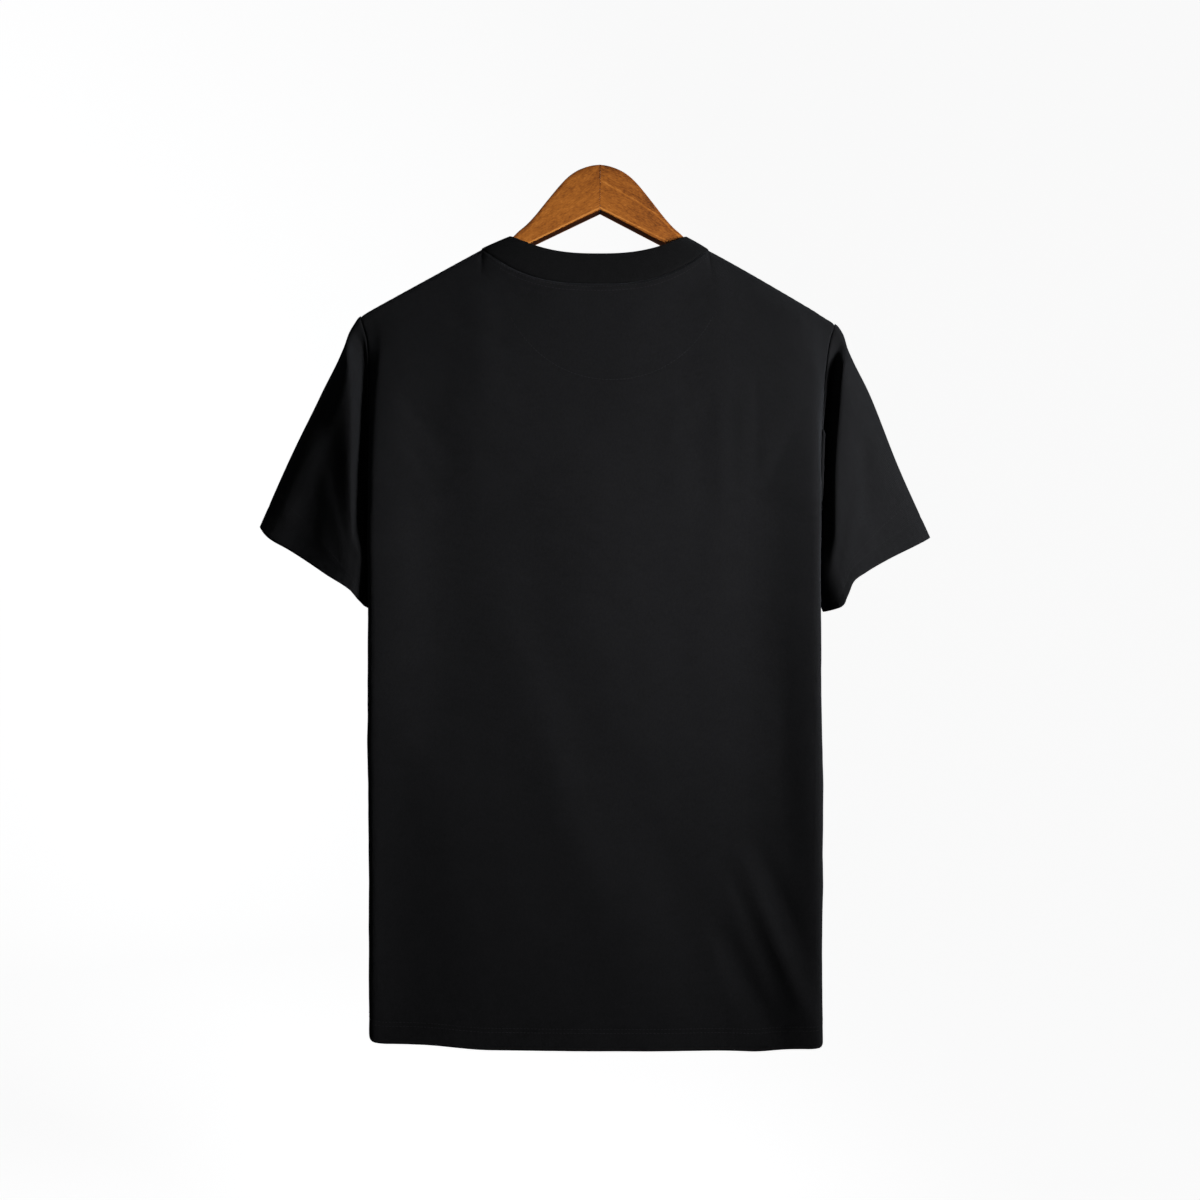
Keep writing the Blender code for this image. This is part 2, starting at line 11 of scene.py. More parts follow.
import bmesh
import bpy
import numpy as np
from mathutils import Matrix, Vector


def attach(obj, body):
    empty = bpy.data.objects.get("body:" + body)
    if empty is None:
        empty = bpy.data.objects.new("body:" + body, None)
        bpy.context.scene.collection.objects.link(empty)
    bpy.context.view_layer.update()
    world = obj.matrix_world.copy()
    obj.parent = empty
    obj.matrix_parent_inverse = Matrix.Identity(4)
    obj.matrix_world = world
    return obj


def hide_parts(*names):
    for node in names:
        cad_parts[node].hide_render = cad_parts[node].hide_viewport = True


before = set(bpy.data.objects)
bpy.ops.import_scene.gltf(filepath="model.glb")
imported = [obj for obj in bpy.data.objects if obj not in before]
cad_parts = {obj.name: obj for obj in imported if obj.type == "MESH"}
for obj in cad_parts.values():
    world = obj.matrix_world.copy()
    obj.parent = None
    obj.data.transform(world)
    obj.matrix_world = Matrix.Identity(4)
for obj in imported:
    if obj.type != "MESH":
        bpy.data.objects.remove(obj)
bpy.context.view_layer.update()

MM = 0.001

# Cloth: the thickness of its walls, and the gap between its pieces
WALL = 1.2
HEM_WALL = 2.2
COLLAR_WALL = 2.0
MOON_WALL = 1.0
ALLOWANCE_WALL = 0.8
SEAM_GAP = 0.3
SHOULDER_EDGE_DEPTH = 0.5
HEM_HEIGHT = 22.0

# Garment outline; a share is of half a panel's width, or of its length
HEM_DROP = 803.0
NECK_CENTRE_X = -4.5
NECK_HALF = 105.0
NECK_DROP = 78.4
NECK_TILT = 0.004
NECK_SHARE = 0.47
SHOULDER_FROM = 106.0
SHOULDER_DROP = 78.0
SHOULDER_SLOPE = 0.574
TILT = 0.0213             # of the hanger, and so of the shoulders
UNDERARM_SHARE = 0.309
ARMHOLE_TURN_SHARE = 0.19
HEM_CORNER_LIFT = 8.0
HEM_CORNER_FROM = 0.76
HEM_CORNER_TO = 0.93
HEM_LEFT_LIFT = 3.0
HEM_LEFT_FROM = 0.38
HEM_RIGHT_LIFT = 8.0
HEM_RIGHT_FROM = 0.55
HEM_SIDE_RUN = 0.25
HALF_CUT = 262.0          # half the width of a panel, laid flat
PANEL_LENGTH = HEM_DROP - NECK_DROP

# How a panel eases from its upper edge into its full depth
SADDLE = 9.0              # the depth that it reaches just over the hanger
NECK_EASE_FROM = 0.1
NECK_EASE_TO = 0.62
NECK_EASE_REACH = 30.0
CORNER_EASE = 8.0         # rounds off the corner between neck and shoulder
CORNER_RUN = 40.0
BELL_REACH = 215.0
SPREAD_REACH = 60.0
FOLD_RISE = 26.0          # below the edge, until a fold has its full height
SIDE_SHARE = 0.18         # beside the seams, where the folds fade
ARMHOLE_FOLD_SHARE = 0.85  # of a fold's height that reaches the armhole seam

# Level sections of the body: how far out its folded sides reach, its depths, and how far in its seams lie
Section = namedtuple("Section", "drop left right back chest tuck")
SECTIONS = (
    Section(137, 221.0, 217.0, 44, 42, 10),
    Section(160, 214.0, 209.5, 45, 43, 11),
    Section(185, 211.5, 206.0, 46, 44, 12),
    Section(225, 210.5, 202.5, 48, 46, 13),
    Section(265, 210.0, 200.0, 50, 48, 15),
    Section(345, 209.4, 198.4, 51, 49, 18),
    Section(420, 208.8, 197.4, 51, 50, 17),
    Section(560, 209.3, 197.7, 50, 50, 13),
    Section(700, 209.8, 197.6, 49, 49, 9),
    Section(805, 209.7, 197.6, 50, 48, 7),
)
CORNER_WIDTH = 8.0
CROWN = 4.0
FOLD_SHARE = 0.5
ARMHOLE_SEAM_SHARE = 0.85

# Neck: how far the middle of the seam and of the band's edge dips, and how far they stand out
Neckline = namedtuple("Neckline", "seam_dip seam_depth edge_dip edge_depth")
NECKLINES = {
    "back": Neckline(36.2, 26.0, 19.0, 23.0),
    "chest": Neckline(99.6, 31.0, 87.0, 27.0),
}
SEAM_CURVE = 2.75
PLAN_CURVE = 3.0
BAND_CENTRE_X = -1.7
BAND_EDGE_HALF = 81.1
BAND_EDGE_DROP = 67.4
BAND_TILT = 0.002
BAND_EDGE_CURVE = 2.6
BAND_PLAN_CURVE = 4.0
BAND_ALLOWANCE = 4.0      # of the band's cloth, below the seam behind the panels
RIB_WIDTH = 2.1
RIB_HEIGHT = 0.20

# Large folds of the panels: from one point to another, their widths there, and their height outwards
Fold = namedtuple("Fold", "x_top drop_top x_end drop_end width_top width_end height")
FOLDS = {
    "back": (
        Fold(-150, 80, -148, 540, 30, 34, -5),
        Fold(-176, 470, -186, 900, 34, 50, -8),
        Fold(203, 60, 204, 960, 40, 48, 19),
        Fold(-92, 300, 40, 830, 42, 62, 2.5),
        Fold(118, 625, 190, 780, 9, 10, 3),
        Fold(98, 680, 165, 800, 11, 13, -3),
        Fold(5, 180, 25, 600, 40, 46, 3),
        Fold(204, 240, 204, 1040, 44, 46, 10),
        Fold(176, 70, 170, 270, 40, 40, 4.5),
        Fold(-198, 100, -202, 590, 58, 60, 8),
    ),
    "chest": (
        Fold(125, 380, 150, 860, 24, 52, -9),
        Fold(-70, 420, -120, 860, 26, 44, 6),
        Fold(150, 260, -20, 640, 20, 40, 4),
        Fold(-204, 80, -204, 700, 30, 36, 6),
        Fold(204, 80, 202, 620, 30, 36, 6),
    ),
}

# Creases: bowed sideways in the middle, and sharper on one side where skew isn't 0
Crease = namedtuple("Crease", "x_top drop_top x_end drop_end bow width_top width_end height skew")
CREASES = {
    "back": (
        # thin streaks under the right shoulder blade and the broad light between them
        Crease(139, 178, 140, 300, 1, 3, 4, -0.7, 0.2),
        Crease(128, 200, 131, 345, -2, 6, 8, 0.8, -0.2),
        Crease(104, 195, 108, 352, 3, 6, 9, 0.8, 0.2),
        Crease(66, 190, 68, 350, -3, 8, 12, 0.7, 0.1),
        Crease(88, 215, 84, 400, 3, 9, 13, -0.8, 0.0),
        Crease(-34, 190, -28, 540, 8, 40, 46, 2.6, 0.1),
        Crease(138, 210, 150, 560, -6, 26, 34, -1.6, 0.2),
        Crease(-160, 180, -158, 400, -4, 14, 18, -1.2, 0.2),
        # the soft drape running down to the lower left
        Crease(-112, 360, -12, 715, 12, 20, 36, 1.6, -0.2),
        Crease(-90, 330, 30, 700, 10, 18, 30, -1.8, 0.1),
        Crease(-60, 470, 66, 800, -8, 20, 30, 2.0, 0.2),
        Crease(10, 520, 120, 860, 10, 18, 30, -2.2, 0.1),
        # diagonal ridges over the right hip
        Crease(112, 600, 178, 770, 4, 8, 8, 2.0, -0.3),
        Crease(100, 632, 160, 790, 3, 7, 8, 1.4, -0.2),
        Crease(128, 598, 190, 740, 3, 6, 8, -1.6, 0.2),
        Crease(86, 650, 140, 800, 2, 8, 9, -1.0, 0.2),
        Crease(160, 430, 176, 700, -5, 10, 16, -1.8, 0.0),
        # pulls from the armholes
        Crease(-196, 205, -120, 300, 6, 5, 14, -1.2, 0.3),
        Crease(-198, 240, -140, 345, 5, 5, 12, 0.9, -0.2),
        Crease(190, 225, 140, 330, -5, 5, 13, -1.1, 0.3),
        # nips and pulls below the collar
        Crease(-74, 118.6, -42, 121.0, 0.8, 1.6, 1.4, -2.4, 0.2),
        Crease(-24, 118.2, 2, 119.0, 0.5, 1.7, 1.6, -5.0, 0.2),
        Crease(22, 118.0, 38, 117.0, 0.3, 1.6, 1.5, -4.5, 0.2),
        Crease(-86, 103.0, -66, 111.0, 0.5, 1.8, 1.8, -4.0, 0.2),
        Crease(-150, 128, -60, 180, -8, 8, 14, -1.0, 0.2),
        Crease(150, 132, 80, 178, 8, 8, 14, -0.8, -0.2),
    ),
    "chest": (
        Crease(-30, 215, -16, 520, 8, 30, 40, 2.4, 0.1),
        Crease(120, 230, 132, 520, -8, 22, 30, -2.2, 0.2),
        Crease(84, 230, 88, 420, 3, 10, 14, 1.2, -0.2),
        Crease(104, 240, 106, 390, -2, 7, 9, -0.8, 0.1),
        Crease(-112, 330, -30, 700, 12, 18, 34, -2.0, -0.2),
        Crease(-150, 450, -60, 800, 10, 18, 30, 2.2, 0.2),
        Crease(-172, 610, -120, 800, 4, 8, 10, 1.8, -0.3),
        Crease(-188, 640, -140, 790, 3, 7, 9, -1.4, 0.2),
        Crease(60, 560, 10, 860, -8, 20, 32, 2.2, 0.1),
        Crease(190, 420, 196, 780, -3, 10, 14, 1.8, 0.0),
        Crease(-196, 210, -130, 320, 5, 5, 13, -1.2, 0.3),
        Crease(196, 215, 128, 330, -6, 5, 14, -1.3, 0.3),
        Crease(194, 250, 140, 380, -4, 5, 12, 0.9, -0.2),
        Crease(-90, 150, -60, 215, -6, 6, 12, -1.0, 0.2),
        Crease(90, 150, 66, 220, 6, 6, 12, -1.0, 0.2),
    ),
    "left back": (
        Crease(-268, 240, -296, 345, 3, 7, 9, 1.0, 0.2),
        Crease(-250, 255, -262, 370, -3, 6, 8, -1.2, 0.0),
        Crease(-232, 160, -262, 270, 4, 6, 9, -0.8, 0.1),
        Crease(-272, 300, -240, 372, 3, 6, 7, 0.8, -0.1),
    ),
    "right back": (
        Crease(244, 235, 250, 352, -4, 8, 11, -3.0, 0.2),
        Crease(224, 226, 254, 236, 2, 3.5, 3.5, -1.0, 0.3),
        Crease(268, 262, 290, 348, 4, 7, 10, 1.0, -0.2),
        Crease(226, 150, 250, 232, 3, 6, 8, -0.7, 0.1),
        Crease(258, 300, 240, 374, -3, 6, 7, 0.9, 0.1),
    ),
    "left chest": (
        Crease(-246, 235, -262, 352, 4, 8, 10, -1.8, 0.2),
        Crease(-270, 260, -296, 345, -4, 7, 9, 1.1, 0.1),
        Crease(-228, 160, -258, 268, 4, 6, 9, -0.8, 0.1),
    ),
    "right chest": (
        Crease(240, 240, 252, 356, -4, 8, 10, -1.6, 0.2),
        Crease(262, 262, 286, 345, 4, 7, 10, 1.0, -0.2),
        Crease(224, 165, 248, 240, 3, 6, 8, -0.7, 0.1),
    ),
}

# Soft unevenness of the cloth, as heights and the widths of their humps
PANEL_WAVES = ((1.1, 74), (0.5, 33), (0.12, 11))
SLEEVE_WAVES = ((0.7, 46), (0.35, 21))

# Sleeves: their upper fold, their cuff, and the groove beside the body, which lies between the armhole seam
# and the ridge; then the depths of the ridge, of the hollow beyond it and of the crest at the cuff
SleevePoint = namedtuple("SleevePoint", "out drop")
Groove = namedtuple("Groove", "drop width centre wall floor")
Sleeve = namedtuple("Sleeve", "side sign top cuff groove ridge hollow crest")
SLEEVES = (
    Sleeve(
        "left", -1,
        top=(SleevePoint(221, 137), SleevePoint(231, 152), SleevePoint(236, 168),
             SleevePoint(257, 209), SleevePoint(291, 274.5), SleevePoint(318.3, 332.5)),
        cuff=(SleevePoint(318.3, 332.5), SleevePoint(306, 344), SleevePoint(285.5, 355.5),
              SleevePoint(249.5, 377), SleevePoint(218, 398), SleevePoint(210, 410)),
        groove=(Groove(137, 13, 0.50, 6, 0.0), Groove(158, 8, 0.50, 6, 0.6), Groove(190, 5, 0.50, 7, 0.6),
                Groove(250, 4, 0.40, 9, 0.3), Groove(300, 3.6, 0.40, 10, 0.1),
                Groove(350, 3.6, 0.40, 10, 0.0)),
        ridge=47, hollow=32, crest=24,
    ),
    Sleeve(
        "right", 1,
        top=(SleevePoint(217, 143.5), SleevePoint(224, 153.5), SleevePoint(228.5, 168),
             SleevePoint(248.5, 208.5), SleevePoint(276, 274.5), SleevePoint(308.5, 343)),
        cuff=(SleevePoint(308.5, 343), SleevePoint(286, 353.6), SleevePoint(261.3, 365.3),
              SleevePoint(241, 376.5), SleevePoint(229, 385), SleevePoint(224, 396),
              SleevePoint(218, 407), SleevePoint(206, 412.5)),
        groove=(Groove(143, 10, 0.75, 6, 0.0), Groove(160, 6.5, 0.75, 6, 0.4), Groove(215, 6, 0.65, 6, 0.8),
                Groove(250, 6, 0.50, 6.5, 1.0), Groove(300, 8.5, 0.50, 6.5, 1.0),
                Groove(350, 10, 0.50, 6.5, 0.7)),
        ridge=36, hollow=28, crest=22,
    ),
)
GROOVE_FLOOR = 8.5
CHEST_GROOVE = 0.6
HOLLOW_SHARE = 0.4
CREST_SHARE = 0.75
SLEEVE_ROUND = 0.24
UNDERSIDE_ROUND = 0.16
SLIM_RUN = 70.0
SLEEVE_HEM_SHARE = 0.11
SLEEVE_GAP = 0.5
UNDERARM_GAP = 3.2
SWING = 20.0              # of the sleeves' outer ends, towards the chest
SWING_FROM = 224.0
SWING_RUN = 88.0
SWING_CURVE = 1.3
ARM_STATIONS = (0, 0.007, 0.02, 0.045, 0.1, 0.18, 0.28, 0.39, 0.5, 0.61, 0.71, 0.8, 0.88, 0.945, 1)
HALF_SLEEVE = 150.0       # half the way round a sleeve, laid flat
RING_LENGTHS = (0, 9, 26, 85, 105)  # down the flat sleeve, at each ring
RING_STEP = 34.0          # from ring to ring, for the waves of its cloth
HEM_STEP = 19.0           # between the last two rings
SLEEVE_WIDTH = 230.0      # from its upper fold to the one under the arm, for the gathers of its seams

# Half-moon patch inside the back of the neck
MOON_CENTRE_X = 8.0
MOON_CENTRE_DROP = 110.0
MOON_RADIUS = 97.0
MOON_WIDTH_SHARE = 0.94
MOON_HEIGHT = 80.0
MOON_CLEARANCE = 0.9
MOON_SEAM_INSET = 4.0
MOON_STITCHES_AT = 0.965  # of the patch's height

# Allowances of the side seams: distances from the seam, and the gap to the wall in front of them
ALLOWANCE_STATIONS = (5.0, 3.5, 2.0, 0.6)
ALLOWANCE_GAP = 0.3

# Hanger: the upper edge of one arm as (out, drop), and its lower edge
HANGER_TOP = ((0, 1.5), (8, 2.6), (15, 4.8), (22.5, 8.4), (30, 14.1), (37, 21.5), (45, 31.2), (52, 40.0),
              (60, 50.0), (67.5, 58.1), (75, 64.6), (79, 68.6), (84, 74.0), (90, 79.5), (106, 90), (150, 112),
              (198, 139.5), (205, 144), (208, 149))
HANGER_UNDER = ((0, 42.6), (95, 90.1), (150, 131), (198, 160), (205, 158.5), (208, 154.5))
HANGER_THICKNESS = 14.0
HANGER_EDGE_ROUND = 3.2
LOWER_EDGE_ROUND = 0.3    # as a share of the upper edge's
UNDERSIDE_SLANT = 1.3     # how much lower the lower edge is on the chest's side
HOOK_HOLE_RADIUS = 2.2
HOOK_HOLE_DEPTH = 22.0
DRILL_ABOVE = 3.0
GRAIN_SLOPE = 0.5
BOARD_SHIFT = 0.7         # metres along the grain from one arm's figure to the other's

# Sewing: length and gap of a stitch and thickness of its thread, then where the rows run
STITCH_LENGTH = 2.3
STITCH_GAP = 0.9
THREAD = 0.45
HEM_ROWS = (16.0, 19.5)   # above the edge
NECK_ROWS = (2.6, 6.4)    # below the neck seam
CUFF_ROWS = (3.06, 2.90)  # as sleeve rings

# Camera and room
CAMERA_DISTANCE = 1.4
CAMERA_HEIGHT = -0.4015
PHOTO_WIDTH = 1.2 * 0.923  # metres across the picture at the hanger's plane
FLOOR = -1.25
ROOM_RADIUS = 3.6
ROOM_BEND = 1.2
ROOM_HEIGHT = 3.2

# Lamps: a spread of 180 degrees is an open softbox
Lamp = namedtuple("Lamp", "name place aim size power spread colour glossy")
LAMPS = (
    Lamp("key_from_right", (0.95, -0.95, -0.22), (0, 0, -0.28), 0.4, 5.45, 80, (0.97, 0.985, 1.0), True),
    Lamp("fill_from_front", (-0.7, -2.4, 0.3), (0, 0, -0.42), 1.6, 0.8, 180, (1.0, 0.99, 0.97), True),
    Lamp("soft_top", (0.2, 0.3, 1.7), (0, 0, -0.42), 2.0, 1.5, 180, (1.0, 1.0, 1.0), True),
    Lamp("key_on_chest", (-0.55, 1.3, -0.18), (0, 0, -0.34), 0.4, 9.5, 80, (0.97, 0.985, 1.0), False),
)


# ---- curves and tables

def smooth(q):
    """0 to 1 with level ends."""
    q = np.clip(q, 0, 1)
    return q * q * (3 - 2 * q)


def round_off(q):
    """A quarter of a circle: rises steeply from 0 and is level at 1."""
    q = np.clip(q, 0, 1)
    return np.sqrt(q * (2 - q))


def through(xs, ys, x):
    """A smooth curve through points, by cubic pieces; level past its ends."""
    xs, ys = np.asarray(xs, float), np.asarray(ys, float)
    x = np.clip(x, xs[0], xs[-1])
    i = np.clip(np.searchsorted(xs, x, side="right") - 1, 0, len(xs) - 2)
    slopes = np.gradient(ys, xs)
    span = xs[i + 1] - xs[i]
    q = (x - xs[i]) / span
    lift = slopes[i] * span * q * (1 - q) ** 2 - slopes[i + 1] * span * q * q * (1 - q)
    return ys[i] + (ys[i + 1] - ys[i]) * smooth(q) + lift


def read(rows, column, drop):
    """The named column of a table at these drops."""
    return through([row.drop for row in rows], [getattr(row, column) for row in rows], drop)


def by_side(s, drop):
    """How far out the folded edge is, on the side that s lies on."""
    return np.where(s < 0, read(SECTIONS, "left", drop), read(SECTIONS, "right", drop))


def along(points, share):
    """The points at these shares of the length of a smooth line through (out, drop) points."""
    steps = [hypot(b[0] - a[0], b[1] - a[1]) for a, b in zip(points, points[1:])]
    reach = np.concatenate([[0], np.cumsum(steps)])
    return [through(reach, [p[axis] for p in points], share * reach[-1]) for axis in (0, 1)]


def stepped(stops, values, at):
    """Passes through each value with a level tangent, as a row of valleys and crests does."""
    result = values[-1] + 0 * at
    for start, end, low, high in reversed(list(zip(stops, stops[1:], values, values[1:]))):
        rising = low + (high - low) * smooth((at - start) / np.maximum(end - start, 1e-6))
        result = np.where(at <= end, rising, result)
    return result


def reaches(points):
    """The distance of each point of a line from its start, along it."""
    return np.concatenate([[0], np.cumsum(np.linalg.norm(np.diff(points, axis=0), axis=1))])


def unit(vectors):
    return vectors / np.linalg.norm(vectors, axis=-1, keepdims=True)


def waver(x, y, cell, seed):
    """A soft uneven field of about -1 to 1, its humps a cell wide."""
    lattice = np.random.default_rng(seed).uniform(-1, 1, (64, 64))
    u, v = x / cell + 31.5, y / cell + 31.5
    i, j = np.floor(u).astype(int), np.floor(v).astype(int)
    a, b = smooth(u - i), smooth(v - j)
    i, j = i % 63, j % 63
    low = lattice[i, j] * (1 - a) + lattice[i + 1, j] * a
    high = lattice[i, j + 1] * (1 - a) + lattice[i + 1, j + 1] * a
    return low * (1 - b) + high * b


def unevenness(waves, x, y, seed):
    """Soft waves of several sizes, each a height and a cell."""
    return sum(height * waver(x, y, cell, seed + number) for number, (height, cell) in enumerate(waves))


def pucker(length_along, distance, wave, height, reach, seed):
    """Small uneven gathers square to a seam, fading away from it."""
    rhythm = length_along + 0.3 * wave * waver(length_along, 0 * length_along, 2.2 * wave, seed)
    size = 0.6 + 0.4 * waver(length_along, distance, 5 * wave, seed + 1)
    return height * size * np.sin(2 * pi * rhythm / wave) * np.exp(-distance / reach)


def groove(distance, depth, width):
    return -depth * np.exp(-(distance / width) ** 2)


def beside(line, x, drop):
    """How far along a fold or crease places lie, as a share of its length, and how far beside it."""
    run_x, run_drop = line.x_end - line.x_top, line.drop_end - line.drop_top
    off_x, off_drop = x - line.x_top, drop - line.drop_top
    length = hypot(run_x, run_drop)
    return (off_x * run_x + off_drop * run_drop) / length ** 2, (off_x * run_drop - off_drop * run_x) / length


def fold_height(face, x, drop):
    """What the large folds of a panel add to its depth."""
    total = 0 * x
    for fold in FOLDS[face]:
        share, away = beside(fold, x, drop)
        width = fold.width_top + (fold.width_end - fold.width_top) * smooth(share)
        ends = smooth(share / 0.45) * smooth((1.1 - share) / 0.3)
        total = total + fold.height * ends * np.exp(-(away / width) ** 2)
    return total


def crease_height(face, x, drop):
    """What the creases of one face add to it."""
    total = 0 * x
    for crease in CREASES[face]:
        share, away = beside(crease, x, drop)
        inside = np.clip(share, 0, 1)
        away = away - crease.bow * 4 * inside * (1 - inside)
        width = crease.width_top + (crease.width_end - crease.width_top) * inside
        width = width * (1 + crease.skew * np.tanh(away / width))
        ends = smooth(share / 0.35) * smooth((1 - share) / 0.35)
        total = total + crease.height * ends * np.exp(-(away / width) ** 2)
    return total


# ---- form of the body

def neck_seam(face, q):
    """The neck seam for q from -1, the left shoulder seam, to 1, the right: x, depth, drop."""
    line = NECKLINES[face]
    share = np.abs(q)
    x = NECK_CENTRE_X + NECK_HALF * q
    depth = line.seam_depth * (1 - share ** PLAN_CURVE) ** (1 / PLAN_CURVE)
    drop = NECK_DROP + line.seam_dip * (1 - share ** SEAM_CURVE) + NECK_TILT * x
    return x, depth, drop


def shoulder_line(x):
    return SHOULDER_DROP + SHOULDER_SLOPE * (np.abs(x) - SHOULDER_FROM) + TILT * x


def top_edge(face, s):
    """The upper edge of a panel: the neck seam, and beyond it the shoulder seam."""
    neck_x, neck_depth, neck_drop = neck_seam(face, np.clip(s / NECK_SHARE, -1, 1))
    corner_x, _, corner_drop = neck_seam(face, np.where(s < 0, -1.0, 1.0))
    tip = np.where(s < 0, -SECTIONS[0].left, SECTIONS[0].right)
    q = np.clip((np.abs(s) - NECK_SHARE) / (1 - NECK_SHARE), 0, 1)
    x = corner_x + (tip - corner_x) * q
    shoulder_drop = shoulder_line(x) + (corner_drop - shoulder_line(corner_x)) * (1 - q) ** 4
    in_neck = np.abs(s) <= NECK_SHARE
    return (np.where(in_neck, neck_x, x), np.where(in_neck, neck_depth, SHOULDER_EDGE_DEPTH),
            np.where(in_neck, neck_drop, shoulder_drop))


def rounded_top(face, s):
    """Drop of a panel's upper edge with the corners between neck and shoulders rounded off."""
    x = NECK_CENTRE_X + NECK_HALF / NECK_SHARE * s
    neck = NECK_DROP + NECKLINES[face].seam_dip * (1 - np.abs(s / NECK_SHARE) ** SEAM_CURVE)
    shoulder = shoulder_line(x)
    return (neck + shoulder + np.sqrt((neck - shoulder) ** 2 + 4 * CORNER_EASE ** 2)) / 2


def hem_drop(s):
    lift = HEM_CORNER_LIFT * smooth((np.abs(s) - HEM_CORNER_FROM) / (HEM_CORNER_TO - HEM_CORNER_FROM))
    left = HEM_LEFT_LIFT * smooth((-s - HEM_LEFT_FROM) / HEM_SIDE_RUN)
    right = HEM_RIGHT_LIFT * smooth((s - HEM_RIGHT_FROM) / HEM_SIDE_RUN)
    return HEM_DROP - lift - left - right


def armhole_seam_share(fall):
    """Depth of the armhole seam as a share of the folded edge's, which closes to 0 under the arm."""
    turn = np.clip((fall - ARMHOLE_TURN_SHARE) / (UNDERARM_SHARE - ARMHOLE_TURN_SHARE), 0, 1)
    return ARMHOLE_SEAM_SHARE * np.sqrt(1 - turn * turn)


def section_point(face, s, drop, fall):
    """The points at share |s| of the length of level half-sections, from their centre to their seam."""
    edge, depth, tuck = by_side(s, drop), read(SECTIONS, face, drop), read(SECTIONS, "tuck", drop)
    fold = FOLD_SHARE * depth
    flat = edge - CORNER_WIDTH
    rise = depth - CROWN - fold
    across = np.linspace(0, 1, 10)
    turn = np.linspace(0, pi / 2, 25)[1:]
    tucked = 1 - np.linspace(0, 1, 21)[1:] * (1 - armhole_seam_share(fall))[:, None]
    x = np.hstack([flat[:, None] * across, flat[:, None] + CORNER_WIDTH * np.sin(turn),
                   edge[:, None] - tuck[:, None] * (1 + np.cos(pi * tucked)) / 2])
    y = np.hstack([depth[:, None] - CROWN * across ** 2, fold[:, None] + rise[:, None] * np.cos(turn),
                   fold[:, None] * tucked])
    steps = np.hypot(np.diff(x, axis=1, prepend=x[:, :1]), np.diff(y, axis=1, prepend=y[:, :1]))
    reach = np.cumsum(steps, axis=1)
    wanted = np.abs(s) * reach[:, -1]
    i = np.clip((reach < wanted[:, None]).sum(axis=1) - 1, 0, x.shape[1] - 2)
    row = np.arange(len(s))
    q = (wanted - reach[row, i]) / (reach[row, i + 1] - reach[row, i])
    x, y = (c[row, i] + (c[row, i + 1] - c[row, i]) * q for c in (x, y))
    return np.where(s > 0, x, -x), y


def side_out(face, sign, depth, drop):
    """How far out the body's folded edge reaches at this depth and drop."""
    edge = by_side(np.full_like(drop, sign), drop)
    full = read(SECTIONS, face, drop)
    fold = FOLD_SHARE * full
    low = edge - read(SECTIONS, "tuck", drop) * (1 + np.cos(pi * np.minimum(depth / fold, 1))) / 2
    lean = np.clip((depth - fold) / (full - CROWN - fold), 0, 1)
    return np.where(depth <= fold, low, edge - CORNER_WIDTH * (1 - np.sqrt(1 - lean ** 2)))


def body_point(face, s, fall):
    """Points of a panel: s from -1 to 1 across it, fall from 0 at its upper edge to 1 at the hem."""
    x_top, depth_top, drop_top = top_edge(face, s)
    drop = drop_top + (hem_drop(s) - drop_top) * fall
    below = drop - drop_top
    hung = below - (rounded_top(face, s) - drop_top) * smooth(below / CORNER_RUN)
    x, depth = section_point(face, s, drop, fall)
    x = x + (x_top - section_point(face, s, drop_top, 0 * fall)[0]) * np.exp(-hung / SPREAD_REACH)
    near = depth_top + np.maximum(0.0, SADDLE - depth_top) * round_off(below / SADDLE)
    from_neck = smooth((np.abs(s) - NECK_EASE_FROM) / (NECK_EASE_TO - NECK_EASE_FROM))
    eased = SADDLE + (NECKLINES[face].seam_depth - SADDLE) * (1 - from_neck)
    near = near + (eased - near) * smooth(hung / NECK_EASE_REACH)
    away = np.clip(hung / BELL_REACH, 0, 1)
    depth = near + (depth - near) * (1 - (1 - away) ** 2)
    from_seam = smooth((1 - np.abs(s)) / SIDE_SHARE)
    at_armhole = ARMHOLE_FOLD_SHARE * smooth(fall / 0.12) * smooth((UNDERARM_SHARE - fall) / 0.1)
    held = (from_seam + (1 - from_seam) * at_armhole) * smooth(below / FOLD_RISE)
    depth = depth + fold_height(face, x, drop) * held
    least = SEAM_GAP / 2 + (SHOULDER_EDGE_DEPTH - SEAM_GAP / 2) * np.exp(-below / SADDLE)
    depth = np.maximum(depth, least)
    return np.stack([x, -depth if face == "back" else depth, -drop], axis=-1)


def panel_relief(face, s, fall, x, drop):
    """How far a panel's cloth stands off its plain form."""
    across, down = s * HALF_CUT, fall * PANEL_LENGTH
    seed = 11 if face == "back" else 47
    from_side = (1 - np.abs(s)) * HALF_CUT
    from_hem = PANEL_LENGTH - down
    inner = smooth(from_side / 22) * smooth(down / 14)
    relief = (crease_height(face, x, drop) + unevenness(PANEL_WAVES, across, down, seed)) * inner
    relief = relief + pucker(across, down, 8.5, 0.28, 7, seed + 3) * smooth(down / 4)
    relief = relief + pucker(down, from_side, 9.5, 0.30, 8, seed + 4) * smooth(from_side / 4)
    relief = relief + pucker(across, np.abs(from_hem - HEM_HEIGHT / 2), 10.5, 0.22, 12, seed + 5)
    relief = relief + groove(from_hem - HEM_HEIGHT + 3, 0.30, 1.6)
    return relief + groove(from_side, 1.0, 1.7) + groove(down, 1.3, 1.5)


